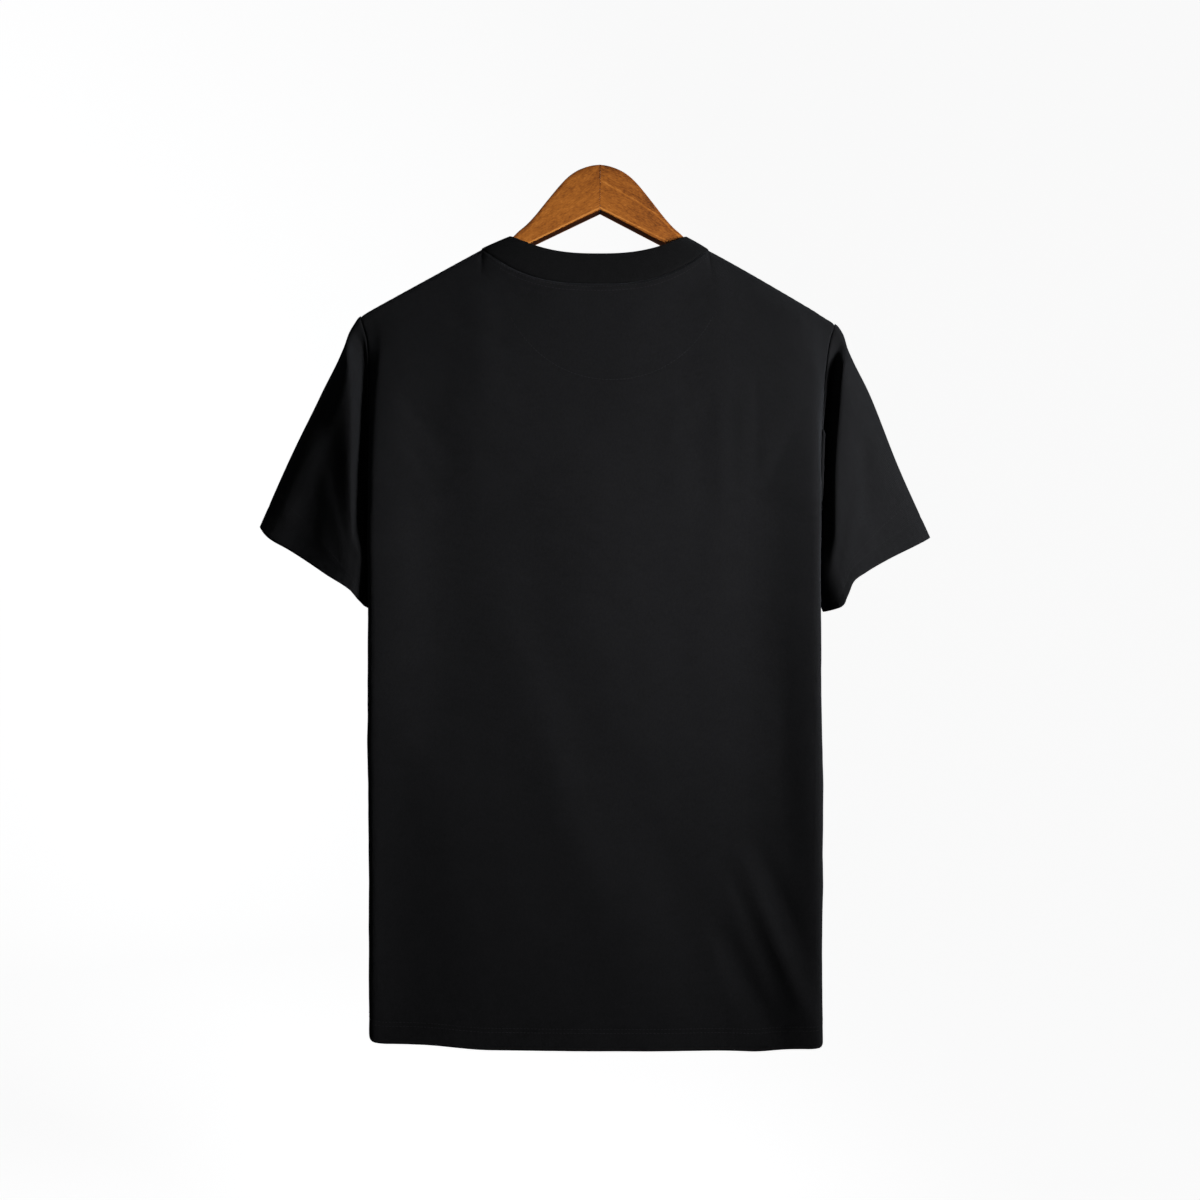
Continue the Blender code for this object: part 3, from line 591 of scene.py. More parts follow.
def lifted(form, relief, a, b, step_a, step_b, turn):
    """Points of a form moved along its outward direction by a relief, and that direction."""
    here = form(a, b)
    toward_a = form(np.clip(a + step_a, -1, 1), b) - form(np.clip(a - step_a, -1, 1), b)
    toward_b = form(a, np.clip(b + step_b, 0, 1)) - form(a, np.clip(b - step_b, 0, 1))
    outward = np.cross(toward_a, toward_b) * turn
    outward = outward / np.maximum(np.linalg.norm(outward, axis=-1, keepdims=True), 1e-9)
    return here + outward * relief(a, b, here)[..., None], outward


def panel_surface(face, s, fall):
    """Points and outward directions of a panel's outer face."""
    return lifted(
        lambda a, b: body_point(face, a, b),
        lambda a, b, here: panel_relief(face, a, b, here[..., 0], -here[..., 2]),
        s, fall, 0.004, 0.002, -1 if face == "back" else 1,
    )


# ---- form of the sleeves

def swing(x):
    """How far the sleeves hang forward at this distance from the middle."""
    return SWING * np.maximum((np.abs(x) - SWING_FROM) / SWING_RUN, 0) ** SWING_CURVE


def sleeve_point(sleeve, face, share, ring):
    """Points of a sleeve: share from 0 on its upper fold to 1 under the arm, ring from 0, the armhole, by way
    of 1, the groove's floor, 2, the ridge, and 3, the hem's stitches, to 4, the cuff."""
    start = body_point(face, np.full_like(share, sleeve.sign), UNDERARM_SHARE * share)
    seam_out, seam_depth, seam_drop = np.abs(start[:, 0]), np.abs(start[:, 1]), -start[:, 2]
    cuff_out, cuff_drop = along(sleeve.cuff, share)
    span = cuff_out - seam_out
    width = np.minimum(read(sleeve.groove, "width", seam_drop), 0.55 * span)
    centre = width * read(sleeve.groove, "centre", seam_drop)
    cut = read(sleeve.groove, "floor", seam_drop) * (1 if face == "back" else CHEST_GROOVE)
    closing = round_off(share / SLEEVE_ROUND) * round_off((1 - share) / UNDERSIDE_ROUND)
    floor = seam_depth + (np.minimum(seam_depth, GROOVE_FLOOR) - seam_depth) * cut
    ridge, hollow, crest = (size * closing for size in (sleeve.ridge, sleeve.hollow, sleeve.crest))
    hem_at = (1 - SLEEVE_HEM_SHARE) * span
    ridge_at = np.minimum(width + read(sleeve.groove, "wall", seam_drop), 0.6 * span)
    rest = span - ridge_at
    hollow, crest = (ridge + (size - ridge) * smooth(rest / SLIM_RUN) for size in (hollow, crest))
    marks = np.stack([0 * span, centre, ridge_at, hem_at, span])
    low = np.clip(ring.astype(int), 0, 3)
    column = np.arange(len(share))
    out = marks[low, column] + (marks[low + 1, column] - marks[low, column]) * (ring - low)
    q = out / span
    drop = seam_drop + (cuff_drop - seam_drop) * q
    x = seam_out + out
    top_out, top_drop = along(sleeve.top, q)
    first, last = sleeve.top[0], sleeve.top[-1]
    bend = np.where(share < 1, (1 - share) ** 3, 0)
    x = x + (top_out - first.out - (last.out - first.out) * q) * bend
    drop = drop + (top_drop - first.drop - (last.drop - first.drop) * q) * bend
    hollow_at, crest_at = ridge_at + HOLLOW_SHARE * rest, ridge_at + CREST_SHARE * rest
    depth = stepped((0 * span, centre, ridge_at, hollow_at, crest_at, span),
                    (seam_depth, floor, ridge, hollow, crest, crest), out)
    clear = side_out(face, sleeve.sign, depth, drop) + UNDERARM_GAP
    x = np.where((out > 0) & (share > 0.5), np.maximum(x, clear), x)
    x = x + SLEEVE_GAP * (1 - smooth(out / 6))
    depth = np.where((share <= 0) | (share >= 1), 0, depth)
    return np.stack([sleeve.sign * x, (-depth if face == "back" else depth) + swing(x), -drop], axis=-1)


def sleeve_relief(sleeve, face, share, ring, x, drop):
    """How far a sleeve's cloth stands off its plain form."""
    seed = 83 if sleeve.sign < 0 else 131
    around = share * HALF_SLEEVE if face == "back" else -share * HALF_SLEEVE
    down = RING_STEP * ring
    from_fold = np.minimum(share, 1 - share) * SLEEVE_WIDTH
    from_cuff = (4 - ring) * HEM_STEP
    inner = smooth(ring / 0.9) * smooth(from_fold / 26)
    off_fold = smooth(from_fold / 10)
    relief = crease_height(f"{sleeve.side} {face}", x, drop) + unevenness(SLEEVE_WAVES, around, down, seed)
    relief = relief * inner + pucker(around, down, 9, 0.28, 7, seed + 2) * smooth(ring / 0.3) * off_fold
    relief = relief + pucker(around, np.abs(from_cuff - 9), 9.5, 0.20, 10, seed + 3) * off_fold
    return relief + groove(from_cuff - 17, 0.28, 1.6) + groove(ring, 0.8, 0.12)


def sleeve_surface(sleeve, face, share, ring):
    """Points and outward directions of a sleeve's outer face."""
    turn = sleeve.sign * (1 if face == "back" else -1)
    return lifted(
        lambda a, b: sleeve_point(sleeve, face, a, 4 * b),
        lambda a, b, here: sleeve_relief(sleeve, face, a, 4 * b, here[..., 0], -here[..., 2]),
        share, ring / 4, 0.004, 0.004, turn,
    )


# ---- form of the neck band and the patch

def band_edge(face, q):
    """The folded upper edge of the neck band."""
    line = NECKLINES[face]
    share = np.abs(q)
    x = BAND_CENTRE_X + BAND_EDGE_HALF * q
    depth = line.edge_depth * (1 - share ** BAND_PLAN_CURVE) ** (1 / BAND_PLAN_CURVE)
    drop = BAND_EDGE_DROP + line.edge_dip * (1 - share ** BAND_EDGE_CURVE) + BAND_TILT * x
    return x, depth, drop


def band_line(face, q):
    """The band's outer face at its seam and at its folded edge."""
    sign = -1 if face == "back" else 1
    low, high = (np.stack([x, sign * depth, -drop], axis=-1)
                 for x, depth, drop in (neck_seam(face, q), band_edge(face, q)))
    return low + unit(high - low) * SEAM_GAP, high


def moon_falls(across):
    """Where the patch starts and ends down the back panel, and the panel's s, for across from -1 to 1."""
    x = MOON_CENTRE_X + MOON_WIDTH_SHARE * MOON_RADIUS * across
    low_drop = MOON_CENTRE_DROP + np.sqrt(MOON_RADIUS ** 2 - (x - MOON_CENTRE_X) ** 2)
    s = NECK_SHARE * (x - NECK_CENTRE_X) / NECK_HALF
    top_drop = top_edge("back", s)[2]
    return s, MOON_SEAM_INSET / (HEM_DROP - top_drop), (low_drop - top_drop) / (HEM_DROP - top_drop)


# ---- mesh work

def deselect():
    bpy.ops.object.select_all(action="DESELECT")


def only(piece):
    deselect()
    piece.select_set(True)
    bpy.context.view_layer.objects.active = piece


def open_whole(piece):
    """Opens a piece in edit mode with all of it selected."""
    only(piece)
    bpy.ops.object.mode_set(mode="EDIT")
    bpy.ops.mesh.select_all(action="SELECT")


def face_outward(piece):
    open_whole(piece)
    bpy.ops.mesh.normals_make_consistent(inside=False)
    bpy.ops.object.mode_set(mode="OBJECT")


def apply_modifiers(piece):
    only(piece)
    for modifier in list(piece.modifiers):
        bpy.ops.object.modifier_apply(modifier=modifier.name)


def bend_grid(name, points, cut, closed=False, flip=False):
    """A flat grid bent to points; cut holds each point's place on the flat cloth and becomes the UV map."""
    across, down = points.shape[:2]
    deselect()
    bpy.ops.mesh.primitive_grid_add(x_subdivisions=across - 1, y_subdivisions=down - 1, size=1)
    piece = bpy.context.object
    piece.name = piece.data.name = name
    mesh = piece.data
    order = points.transpose(1, 0, 2).reshape(-1, 3)
    mesh.vertices.foreach_set("co", (order * MM).ravel())
    corners = np.empty(len(mesh.loops), int)
    mesh.loops.foreach_get("vertex_index", corners)
    laid = cut.transpose(1, 0, 2).reshape(-1, 2)[corners] * MM
    mesh.uv_layers.active.name = "cut"
    mesh.uv_layers.active.data.foreach_set("uv", laid.ravel())
    mesh.update()
    open_whole(piece)
    if flip:
        bpy.ops.mesh.flip_normals()
    if closed:
        bpy.ops.mesh.remove_doubles(threshold=1e-6)
    bpy.ops.object.mode_set(mode="OBJECT")
    mesh.shade_smooth()
    return piece


def thicken(piece, wall, doubled=None):
    """Gives a sheet its wall, inwards; doubled marks the points of a turned hem."""
    shell = piece.modifiers.new("wall", "SOLIDIFY")
    shell.offset = -1
    shell.use_quality_normals = True
    shell.thickness = (wall if doubled is None else HEM_WALL) * MM
    if doubled is not None:
        layers = piece.vertex_groups.new(name="layers")
        layers.add([int(i) for i in np.flatnonzero(doubled)], 1.0, "REPLACE")
        layers.add([int(i) for i in np.flatnonzero(~doubled)], wall / HEM_WALL, "REPLACE")
        shell.vertex_group = layers.name
    apply_modifiers(piece)


def dress(piece, look, node=None):
    """Gives a piece its finish and its body, and hides the imported part of the node that it stands for."""
    piece.data.materials.clear()
    piece.data.materials.append(look)
    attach(piece, "root")
    if node:
        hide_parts(node)
    return piece


# ---- finishes

class Number:
    """A number that varies over a surface; arithmetic on it adds Math nodes."""

    def __init__(self, finish, socket):
        self.finish = finish
        self.socket = socket

    def __add__(self, other):
        return self.finish.math("ADD", self, other)

    def __sub__(self, other):
        return self.finish.math("SUBTRACT", self, other)

    def __rsub__(self, other):
        return self.finish.math("SUBTRACT", other, self)

    def __mul__(self, other):
        return self.finish.math("MULTIPLY", self, other)

    def __truediv__(self, other):
        return self.finish.math("DIVIDE", self, other)

    def __abs__(self):
        return self.finish.math("ABSOLUTE", self)

    def fraction(self):
        return self.finish.math("FRACT", self)

    def sine(self):
        return self.finish.math("SINE", self)

    def cosine(self):
        return self.finish.math("COSINE", self)

    def clamped(self):
        return self.finish.math("MAXIMUM", self.finish.math("MINIMUM", self, 1.0), 0.0)

    __radd__ = __add__
    __rmul__ = __mul__


class Finish:
    """A material on one Principled shader; constants are set on its sockets."""

    def __init__(self, name, constants):
        self.material = bpy.data.materials.new(name)
        self.material.use_nodes = True
        self.tree = self.material.node_tree
        self.shader = self.tree.nodes["Principled BSDF"]
        for socket, value in constants.items():
            self.shader.inputs[socket].default_value = value

    def feed(self, socket, value):
        if isinstance(value, Number):
            value = value.socket
        if isinstance(value, bpy.types.NodeSocket):
            self.tree.links.new(value, socket)
        else:
            socket.default_value = value

    def node(self, kind, settings=None, inputs=None):
        """Adds a node: its settings first, a ramp's stops among them, then its sockets' values or links."""
        made = self.tree.nodes.new(kind)
        for name, value in (settings or {}).items():
            if name == "stops":
                ramp = made.color_ramp.elements
                while len(ramp) < len(value):
                    ramp.new(0.5)
                for stop, (place, colour) in zip(ramp, value):
                    stop.position = place
                    stop.color = (*colour, 1)
            else:
                setattr(made, name, value)
        for name, value in (inputs or {}).items():
            self.feed(made.inputs[name], value)
        return made

    def math(self, operation, *terms):
        made = self.node("ShaderNodeMath", {"operation": operation}, dict(enumerate(terms)))
        return Number(self, made.outputs[0])

    def parts(self, vector):
        split = self.node("ShaderNodeSeparateXYZ", None, {"Vector": vector})
        return [Number(self, split.outputs[axis]) for axis in "XYZ"]

    def joined(self, x, y, z=0.0):
        return self.node("ShaderNodeCombineXYZ", None, {"X": x, "Y": y, "Z": z}).outputs[0]

    def object_place(self):
        return self.node("ShaderNodeTexCoord").outputs["Object"]

    def attribute(self, name, output):
        return self.node("ShaderNodeAttribute", {"attribute_name": name}).outputs[output]

    def noise(self, vector, scale, detail=2.0, roughness=0.5):
        made = self.node("ShaderNodeTexNoise", None, {
            "Vector": vector, "Scale": scale, "Detail": detail, "Roughness": roughness})
        return Number(self, made.outputs["Fac"])

    def ramp(self, factor, stops):
        return self.node("ShaderNodeValToRGB", {"stops": stops}, {"Fac": factor}).outputs["Color"]

    def blend(self, factor, low, high):
        made = self.node("ShaderNodeMix", {"data_type": "RGBA"}, {0: factor, 6: (*low, 1), 7: (*high, 1)})
        return made.outputs[2]

    def relief(self, height, distance, strength):
        made = self.node("ShaderNodeBump", None, {
            "Height": height, "Distance": distance, "Strength": strength})
        self.surface("Normal", made.outputs[0])

    def surface(self, socket, value):
        self.feed(self.shader.inputs[socket], value)


def knit_finish(name, dark, light, wale, course, sheen):
    """Jersey knit: columns of V-shaped loops on the flat cloth, a wale wide and a course tall."""
    look = Finish(name, {"Roughness": 0.86, "Specular IOR Level": 0.12, "Sheen Weight": sheen,
                         "Sheen Roughness": 0.42, "Sheen Tint": (0.82, 0.88, 1.0, 1)})
    cloth = look.node("ShaderNodeUVMap", {"uv_map": "cut"}).outputs[0]
    across, down, _ = look.parts(cloth)
    lane = abs((across / wale).fraction() - 0.5)
    loops = ((down / course + lane * 1.3) * (2 * pi)).cosine() * 0.5 + 0.5
    legs = (lane * (2 * pi)).sine()
    stitches = loops * 0.7 * legs + legs * 0.3
    yarn = look.noise(look.joined(across * 900, down * 120), 1.0)
    fuzz = look.noise(cloth, 1400.0)
    wash = look.noise(cloth, 40.0, 4.0, 0.65)
    nap = look.noise(look.joined(across * 420, down * 260), 1.0, 3.0, 0.6)
    fleck = look.noise(look.joined(across * 950, down * 650), 1.0, 2.0, 0.6)
    look.relief(stitches + (yarn - 0.5) * 0.5 + (fuzz - 0.5) * 0.6, 0.00022, 0.8)
    tone = stitches * 0.35 + wash * 0.8 + nap * 1.2 + fleck * 1.1 + fuzz * 0.25 - 1.4
    look.surface("Base Color", look.blend(tone.clamped(), dark, light))
    look.surface("Roughness", (0.80 + wash * 0.12).clamped())
    return look.material


def thread_finish(name):
    look = Finish(name, {"Roughness": 0.7, "Specular IOR Level": 0.15})
    twist = look.noise(look.object_place(), 2600.0, 1.0)
    look.surface("Base Color", look.blend(twist, (0.010, 0.010, 0.011), (0.021, 0.021, 0.023)))
    look.relief(twist, 0.00008, 0.6)
    return look.material


def wood_finish(name):
    """Varnished wood; its figure follows each arm's grain, which the arm's own attributes give."""
    look = Finish(name, {"Roughness": 0.42, "Coat Weight": 0.08, "Coat Roughness": 0.25,
                         "Specular IOR Level": 0.28})
    length, across, deep = look.parts(look.attribute("grain", "Vector"))
    from_top = Number(look, look.attribute("from_top", "Fac"))
    x, _, _ = look.parts(look.object_place())
    cloud = look.noise(look.joined(length * 13, across * 45, deep * 30), 1.0, 3.0)
    mottle = look.noise(look.joined(length * 110, across * 300, deep * 200), 1.0, 3.0, 0.6)
    fibre = look.noise(look.joined(length * 330, across * 1100, deep * 700), 1.0)
    # painted shade: the narrow sides are darker, and so is the rim under the left arm's upper edge, which
    # faces away from the key lamp
    side = ((0.0068 - abs(deep)) * 420).clamped()
    left = (0.5 - x * 9).clamped()
    rim_painted_shade = (1 - from_top / 0.006).clamped() * left
    # a painted highlight along the rounded lower edge, light lines in the right arm's figure, and a dark one
    # at the joint
    arris_highlight = (1 - abs(across - 0.0367) * 1000).clamped() * (1 - side) * (left * 0.6 + 0.35)
    joint = (1 - abs(x) * 1700).clamped()
    run = length - BOARD_SHIFT
    figure = (1 - abs(across - 0.0148 - run * run * run * 15.6 + (mottle - 0.5) * 0.004) * 800).clamped()
    figure = figure * (x * 400).clamped() * (1 - side)
    # painted light and shade: - x * 2.1 makes the left arm lighter and the right arm darker, to offset how
    # the key lamp falls on them
    tone = 0.485 + (cloud - 0.5) * 0.5 + (mottle - 0.5) * 0.6 + (fibre - 0.5) * 0.7 - x * 2.1
    tone = (tone - side * 0.55 - rim_painted_shade * 0.42 + arris_highlight + figure * 0.3 - joint * 0.34).clamped()
    colour = look.ramp(tone, ((0.05, (0.045, 0.012, 0.0035)), (0.33, (0.24, 0.068, 0.0090)),
                              (0.60, (0.405, 0.127, 0.0160)), (0.95, (0.60, 0.225, 0.042))))
    look.surface("Base Color", colour)
    look.surface("Roughness", (0.34 + mottle * 0.12).clamped())
    look.relief(mottle * 0.6 + fibre * 0.4, 0.00010, 0.35)
    return look.material


# ---- pieces of the jersey

def edge_stops(count, fine):
    """Even stops between 0 and 1, with the fine distances added at both ends."""
    even = np.linspace(fine[-1], 1 - fine[-1], count)
    return np.concatenate([np.array(fine[:-1]), even, 1 - np.array(fine[:-1][::-1])])


def panel(face, node, look):
    """A body panel: neck and shoulder seams above, armholes and side seams beside, a turned hem below."""
    shoulder = np.concatenate([np.linspace(NECK_SHARE, 0.987, 40), [0.993, 0.997, 1.0]])
    neck = NECK_SHARE * np.sin(pi / 2 * np.linspace(-1, 1, 71)[1:-1])
    s = np.concatenate([-shoulder[::-1], neck, shoulder])
    fall = edge_stops(198, (0, 0.0012, 0.003, 0.005, 0.007, 0.009, 0.011, 0.013, 0.015, 0.018))
    across, down = np.meshgrid(s, fall, indexing="ij")
    points, _ = panel_surface(face, across.ravel(), down.ravel())
    cut = np.stack([across * HALF_CUT, down * PANEL_LENGTH], axis=-1)
    piece = bend_grid(f"{node}_cloth", points.reshape(*across.shape, 3), cut, flip=face == "back")
    thicken(piece, WALL, (down * PANEL_LENGTH > PANEL_LENGTH - HEM_HEIGHT).T.ravel())
    return dress(piece, look, node)


def sleeve_cloth(sleeve, look):
    """A sleeve: one cloth round the arm, sewn into the armhole, with a turned hem at the cuff."""
    stations = np.interp(np.linspace(0, 14, 85), np.arange(15), ARM_STATIONS)
    ring = np.concatenate([np.linspace(0, 1, 15), np.linspace(1, 2, 11)[1:], np.linspace(2, 3, 23)[1:],
                           np.linspace(3, 4, 9)[1:]])
    share, rings = np.meshgrid(stations, ring, indexing="ij")
    halves = []
    for face in ("back", "chest"):
        surface = sleeve_surface(sleeve, face, share.ravel(), rings.ravel())[0].reshape(*share.shape, 3)
        surface[[0, -1], :, 1] = swing(surface[[0, -1], :, 0])
        halves.append(surface)
    back, chest = halves[0], halves[1][::-1]
    points = np.concatenate([back, chest[1:-1], back[:1]])
    turned = np.concatenate([stations, 2 - stations[::-1][1:]]) * HALF_SLEEVE
    lengths = np.interp(ring, range(5), RING_LENGTHS)
    cut = np.stack(np.meshgrid(turned, lengths, indexing="ij"), axis=-1)
    piece = bend_grid(f"{sleeve.side}_sleeve_cloth", points, cut, closed=True, flip=sleeve.sign < 0)
    doubled = np.zeros(len(piece.data.vertices), bool)
    for loop, laid in zip(piece.data.loops, piece.data.uv_layers["cut"].data):
        doubled[loop.vertex_index] |= laid.uv[1] > (RING_LENGTHS[3] - 0.5) * MM
    thicken(piece, WALL, doubled)
    return dress(piece, look, f"{sleeve.side}_sleeve")


def neck_band(look):
    """The folded rib band: up its outer face from the seam, over the fold and down inside."""
    half = np.sin(pi / 2 * np.linspace(-1, 1, 421))
    stations = [("back", half), ("chest", half[::-1][1:])]
    low, high = (np.concatenate(part) for part in zip(*(band_line(face, q) for face, q in stations)))
    height = np.linalg.norm(high - low, axis=1, keepdims=True)
    rise = (high - low) / height
    ahead = np.gradient(low + high, axis=0)
    ahead[0] = ahead[-1] = ahead[1] + ahead[-2]
    outward = unit(np.cross(ahead, rise))
    reach = reaches((low + high) / 2)
    ribs = round(reach[-1] / RIB_WIDTH)
    rib = RIB_HEIGHT * np.abs(np.cos(pi * ribs * reach / reach[-1]))[:, None] - RIB_HEIGHT / 2
    radius = COLLAR_WALL / 2
    # the wall's profile: share of the height, how far over it, how far off the face, and which way it faces
    profile = [(q, 0.0, 0.0, 1.0) for q in np.linspace(0, 1, 12)]
    profile += [(1.0, radius * np.sin(turn), -radius * (1 - np.cos(turn)), np.cos(turn))
                for turn in np.linspace(0, pi, 8)[1:-1]]
    profile += [(q, 0.0, -COLLAR_WALL, -1.0) for q in np.linspace(1, 0, 12)]
    rows = []
    for q, over, off, facing in profile:
        plump = 0.25 * np.sin(pi * q) * facing
        pinch = 0.35 * facing if q == 0 else 0.0
        stand = off + plump + rib * facing - 0.2 - pinch
        rows.append(low + rise * ((height - radius) * q + over) + outward * stand)
    behind = WALL + 0.7
    for below, off in ((BAND_ALLOWANCE, COLLAR_WALL + 0.4), (BAND_ALLOWANCE, behind), (0.5, behind)):
        rows.append(low - rise * below - outward * off)
    rows.append(rows[0])
    points = np.stack(rows, axis=1)
    points[-1] = points[0]
    cut = np.stack(np.meshgrid(reach, reaches(points[0]), indexing="ij"), axis=-1)
    piece = bend_grid("neck_band_cloth", points, cut, closed=True)
    face_outward(piece)
    return dress(piece, look, "neck_band")


def half_moon(look):
    """The patch that lies inside the back panel, below the neck seam."""
    across, down = np.meshgrid(np.linspace(-1, 1, 57), np.linspace(0, 1, 41), indexing="ij")
    s, start, end = moon_falls(across.ravel())
    here, outward = panel_surface("back", s, start + (end - start) * down.ravel())
    points = (here - outward * (WALL + MOON_CLEARANCE)).reshape(*across.shape, 3)
    cut = np.stack([across * MOON_RADIUS, down * MOON_HEIGHT], axis=-1)
    piece = bend_grid("half_moon_cloth", points, cut, flip=True)
    thicken(piece, MOON_WALL)
    return dress(piece, look, "half_moon_patch")


def side_allowance(side, sign, look):
    """The overlocked edges of a side seam, pressed open inside the body; they close the seam from within."""
    fall = np.linspace(UNDERARM_SHARE + 0.002, 0.997, 150)
    distance, down = np.meshgrid(ALLOWANCE_STATIONS, fall, indexing="ij")
    s = sign * (1 - distance.ravel() / HALF_CUT)
    in_hem = smooth((down.ravel() * PANEL_LENGTH - PANEL_LENGTH + HEM_HEIGHT + 6) / 4)
    inset = (WALL + (HEM_WALL - WALL) * in_hem + ALLOWANCE_GAP)[:, None]
    halves = []
    for face in ("back", "chest"):
        here, outward = panel_surface(face, s, down.ravel())
        halves.append((here - outward * inset).reshape(*distance.shape, 3))
    points = np.concatenate([halves[0], halves[1][::-1]])
    laid = np.concatenate([distance, 2 * SEAM_GAP - distance[::-1]])
    cut = np.stack([laid, np.concatenate([down, down]) * PANEL_LENGTH], axis=-1)
    piece = bend_grid(f"{side}_side_allowance", points, cut, flip=sign > 0)
    thicken(piece, ALLOWANCE_WALL)
    return dress(piece, look)


# ---- sewing

def stitch_row(name, line, outward, look, closed=False):
    """Stitches laid end to end on a line, half sunk in the cloth: one small thread shape, copied along it."""
    if closed:
        line, outward = np.vstack([line, line[:1]]), np.vstack([outward, outward[:1]])
    reach = reaches(line)
    count = int(reach[-1] / (STITCH_LENGTH + STITCH_GAP))
    at = (np.arange(count) + 0.5) * reach[-1] / count
    middle, before, after, up = (
        np.stack([np.interp(where, reach, source[:, axis]) for axis in range(3)], axis=-1)
        for where, source in ((at, line), (at - 0.5, line), (at + 0.5, line), (at, outward))
    )
    ahead = unit(after - before)
    side = unit(np.cross(ahead, up))
    up = np.cross(side, ahead)
    deselect()
    bpy.ops.mesh.primitive_uv_sphere_add(segments=6, ring_count=4, radius=0.5)
    bead = bpy.context.object
    shape = np.array([vertex.co[:] for vertex in bead.data.vertices])
    faces = [list(polygon.vertices) for polygon in bead.data.polygons]
    bpy.data.objects.remove(bead)
    places = (middle[:, None]
              + ahead[:, None] * shape[None, :, 2:3] * STITCH_LENGTH
              + side[:, None] * shape[None, :, 0:1] * THREAD
              + up[:, None] * (shape[None, :, 1:2] * THREAD + 0.05))
    mesh = bpy.data.meshes.new(name)
    mesh.from_pydata((places.reshape(-1, 3) * MM).tolist(), [],
                     [[i + k * len(shape) for i in face] for k in range(count) for face in faces])
    mesh.shade_smooth()
    row = bpy.data.objects.new(name, mesh)
    bpy.context.scene.collection.objects.link(row)
    face_outward(row)
    return dress(row, look)


def sew_jersey(look):
    side = np.linspace(-0.994, 0.994, 500)
    neck = np.linspace(-NECK_SHARE, NECK_SHARE, 300)
    for face in ("back", "chest"):
        for number, height in enumerate(HEM_ROWS, 1):
            row = panel_surface(face, side, 1 - height / (hem_drop(side) - top_edge(face, side)[2]))
            stitch_row(f"{face}_hem_stitches_{number}", *row, look)
        for number, below in enumerate(NECK_ROWS, 1):
            row = panel_surface(face, neck, below / (hem_drop(neck) - top_edge(face, neck)[2]))
            stitch_row(f"{face}_neck_stitches_{number}", *row, look)
    share = np.linspace(0.02, 0.98, 260)
    for sleeve in SLEEVES:
        for number, ring in enumerate(CUFF_ROWS, 1):
            halves = (sleeve_surface(sleeve, "back", share, np.full_like(share, ring)),
                      sleeve_surface(sleeve, "chest", share[::-1], np.full_like(share, ring)))
            row = [np.concatenate(part) for part in zip(*halves)]
            stitch_row(f"{sleeve.side}_cuff_stitches_{number}", *row, look, closed=True)
    s, start, end = moon_falls(np.linspace(-0.985, 0.985, 400))
    row = panel_surface("back", s, start + (end - start) * MOON_STITCHES_AT)
    stitch_row("half_moon_stitches", *row, look)


# ---- hanger

def on_lower_edge(place):
    """Whether a point of the hanger lies on its lower edge, the board's tilt set aside."""
    lower = np.interp(abs(place.x) / MM, *zip(*HANGER_UNDER))
    return (-place.z - TILT * place.x) / MM > lower - 1


def shape_edges(arm):
    """Slants the underside, and rounds all the board's edges but those at the joint."""
    work = bmesh.new()
    work.from_mesh(arm.data)
    for vertex in work.verts:
        if vertex.co.y > 0 and on_lower_edge(vertex.co):
            vertex.co.z -= UNDERSIDE_SLANT * MM
    weight = work.edges.layers.float.new("bevel_weight_edge")
    for edge in work.edges:
        if len(edge.link_faces) == 2 and edge.calc_face_angle() > radians(50):
            middle = (edge.verts[0].co + edge.verts[1].co) / 2
            if on_lower_edge(middle):
                edge[weight] = LOWER_EDGE_ROUND
            elif abs(middle.x) > SEAM_GAP * MM:
                edge[weight] = 1.0
    work.to_mesh(arm.data)
    work.free()
    rounding = arm.modifiers.new("edges", "BEVEL")
    rounding.width = HANGER_EDGE_ROUND * MM
    rounding.segments = 4
    rounding.limit_method = "WEIGHT"


def bore_hook_hole(arm):
    deselect()
    length = HOOK_HOLE_DEPTH + DRILL_ABOVE
    bpy.ops.mesh.primitive_cylinder_add(vertices=24, radius=HOOK_HOLE_RADIUS * MM, depth=length * MM,
                                        location=(0, 0, (DRILL_ABOVE - length / 2) * MM))
    drill = bpy.context.object
    hole = arm.modifiers.new("hook_hole", "BOOLEAN")
    hole.operation = "DIFFERENCE"
    hole.object = drill
    apply_modifiers(arm)
    bpy.data.objects.remove(drill)


def mark_grain(arm, sign):
    """Gives each point its place along, across and through the wood, and its distance from the upper edge."""
    lean = atan(GRAIN_SLOPE)
    measures = arm.data.attributes
    measures.new("grain", "FLOAT_VECTOR", "POINT")
    measures.new("from_top", "FLOAT", "POINT")
    for vertex, grain, from_top in zip(arm.data.vertices, measures["grain"].data, measures["from_top"].data):
        out, down = sign * vertex.co.x, -vertex.co.z
        from_top.value = down - TILT * vertex.co.x - through(*zip(*HANGER_TOP), out / MM) * MM
        grain.vector = (out * np.cos(lean) + down * np.sin(lean) + (BOARD_SHIFT if sign > 0 else 0.0),
                        down * np.cos(lean) - out * np.sin(lean), vertex.co.y)


def hanger_arm(side, sign, look):
    """A board drawn as a grid on the arm's outline, given its thickness, rounded and bored for the hook."""
    outs = np.concatenate([np.linspace(0.004, 84, 44), np.linspace(92, 198, 14), [202, 205, 207, 208.2]])
    top = through(*zip(*HANGER_TOP), outs)
    under = np.interp(outs, *zip(*HANGER_UNDER))
    rise = np.linspace(0, 1, 7)
    drop = under[:, None] + (top - under)[:, None] * rise
    x = sign * np.repeat(outs[:, None], len(rise), axis=1)
    points = np.stack([x, np.full_like(x, -HANGER_THICKNESS / 2), -drop - TILT * x], axis=-1)
    arm = bend_grid(f"{side}_arm_wood", points, points[..., [0, 2]])
    open_whole(arm)
    bpy.ops.mesh.extrude_region_move(TRANSFORM_OT_translate={"value": (0, HANGER_THICKNESS * MM, 0)})
    bpy.ops.object.mode_set(mode="OBJECT")
    face_outward(arm)
    shape_edges(arm)
    bore_hook_hole(arm)
    only(arm)
    bpy.ops.object.shade_smooth_by_angle(angle=radians(38))
    mark_grain(arm, sign)
    return dress(arm, look, f"hanger_{side}_arm")


# ---- room, light and camera

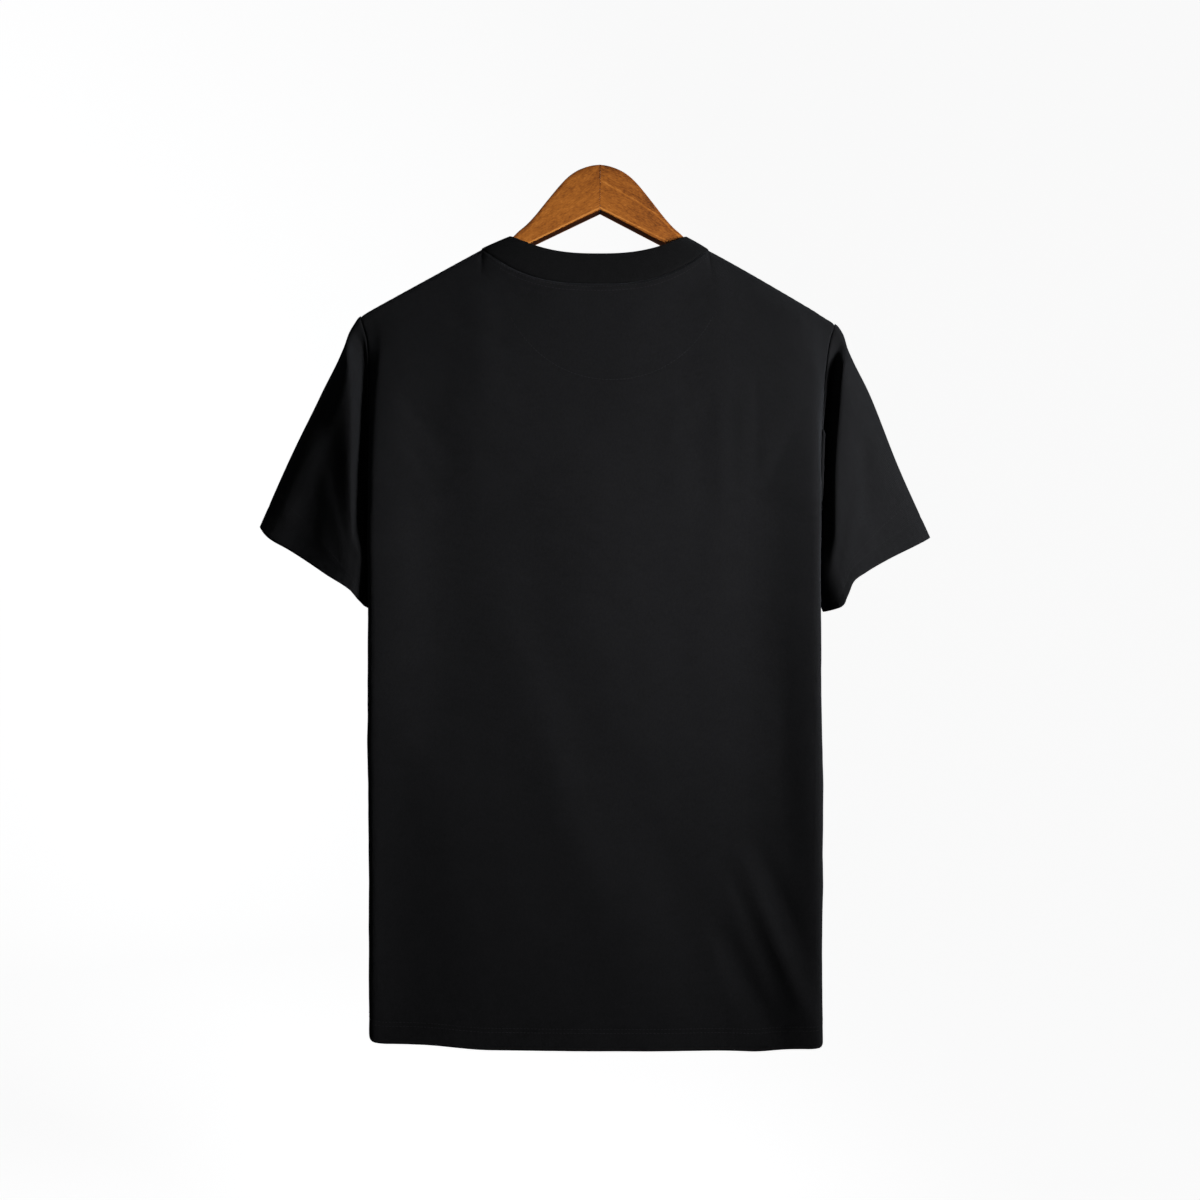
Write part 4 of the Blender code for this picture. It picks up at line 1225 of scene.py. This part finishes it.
def room():
    """A pale round floor that curves up into a wall."""
    look = Finish("pale_room", {"Base Color": (0.86, 0.86, 0.87, 1), "Roughness": 0.9,
                                "Emission Color": (1, 1, 1, 1), "Emission Strength": 0.93})
    deselect()
    bpy.ops.mesh.primitive_circle_add(vertices=96, radius=ROOM_RADIUS - ROOM_BEND, fill_type="NGON",
                                      location=(0, 0, FLOOR))
    stage = bpy.context.object
    stage.name = "studio_room"
    open_whole(stage)
    bpy.ops.mesh.region_to_loop()
    turns = np.linspace(0, pi / 2, 13)[1:]
    rings = [(ROOM_RADIUS - ROOM_BEND * (1 - np.sin(turn)), ROOM_BEND * (1 - np.cos(turn))) for turn in turns]
    radius, height = ROOM_RADIUS - ROOM_BEND, 0.0
    for next_radius, next_height in rings + [(ROOM_RADIUS, ROOM_HEIGHT)]:
        bpy.ops.mesh.extrude_edges_move(TRANSFORM_OT_translate={"value": (0, 0, next_height - height)})
        scale = next_radius / radius
        bpy.ops.transform.resize(value=(scale, scale, 1), center_override=(0, 0, 0))
        radius, height = next_radius, next_height
    bpy.ops.object.mode_set(mode="OBJECT")
    face_outward(stage)
    stage.data.shade_smooth()
    stage.data.materials.append(look.material)
    stage.visible_diffuse = False
    stage.visible_glossy = False


def hang_lamp(lamp):
    light = bpy.data.lights.new(lamp.name, "AREA")
    light.shape = "RECTANGLE"
    light.size = light.size_y = lamp.size
    light.energy = lamp.power
    light.color = lamp.colour
    light.spread = radians(lamp.spread)
    hung = bpy.data.objects.new(lamp.name, light)
    bpy.context.scene.collection.objects.link(hung)
    hung.location = lamp.place
    hung.rotation_euler = (Vector(lamp.aim) - Vector(lamp.place)).to_track_quat("-Z", "Y").to_euler()
    hung.visible_camera = False
    hung.visible_glossy = lamp.glossy


def pale_air():
    world = bpy.data.worlds.new("pale_air")
    world.use_nodes = True
    background = world.node_tree.nodes["Background"]
    background.inputs["Color"].default_value = (0.93, 0.96, 1.0, 1)
    background.inputs["Strength"].default_value = 0.02
    bpy.context.scene.world = world
    bpy.context.scene.view_settings.view_transform = "Standard"


def place_camera():
    lens = bpy.data.cameras.new("camera")
    lens.sensor_width = 36
    lens.angle = 2 * atan(PHOTO_WIDTH / 2 / CAMERA_DISTANCE)
    lens.clip_start, lens.clip_end = 0.05, 30
    camera = bpy.data.objects.new("camera", lens)
    camera.location = (0, -CAMERA_DISTANCE, CAMERA_HEIGHT)
    camera.rotation_euler = (pi / 2, 0, 0)
    bpy.context.scene.collection.objects.link(camera)
    bpy.context.scene.camera = camera


# ---- all together

def main():
    knit = knit_finish("black_knit_cloth", (0.0052, 0.0052, 0.0057), (0.0104, 0.0103, 0.0113),
                       wale=0.00085, course=0.00068, sheen=0.06)
    rib = knit_finish("black_rib_cloth", (0.0027, 0.0027, 0.0029), (0.0050, 0.0050, 0.0054),
                      wale=0.00105, course=0.00085, sheen=0.03)
    thread = thread_finish("black_thread")
    wood = wood_finish("varnished_wood_grain")
    arms = [hanger_arm("left", -1, wood), hanger_arm("right", 1, wood)]
    back = panel("back", "back_panel", knit)
    front = panel("chest", "front_panel", knit)
    sleeves = [sleeve_cloth(sleeve, knit) for sleeve in SLEEVES]
    band = neck_band(rib)
    moon = half_moon(knit)
    side_allowance("left", -1, knit)
    side_allowance("right", 1, knit)
    sew_jersey(thread)
    room()
    for lamp in LAMPS:
        hang_lamp(lamp)
    pale_air()
    place_camera()


main()
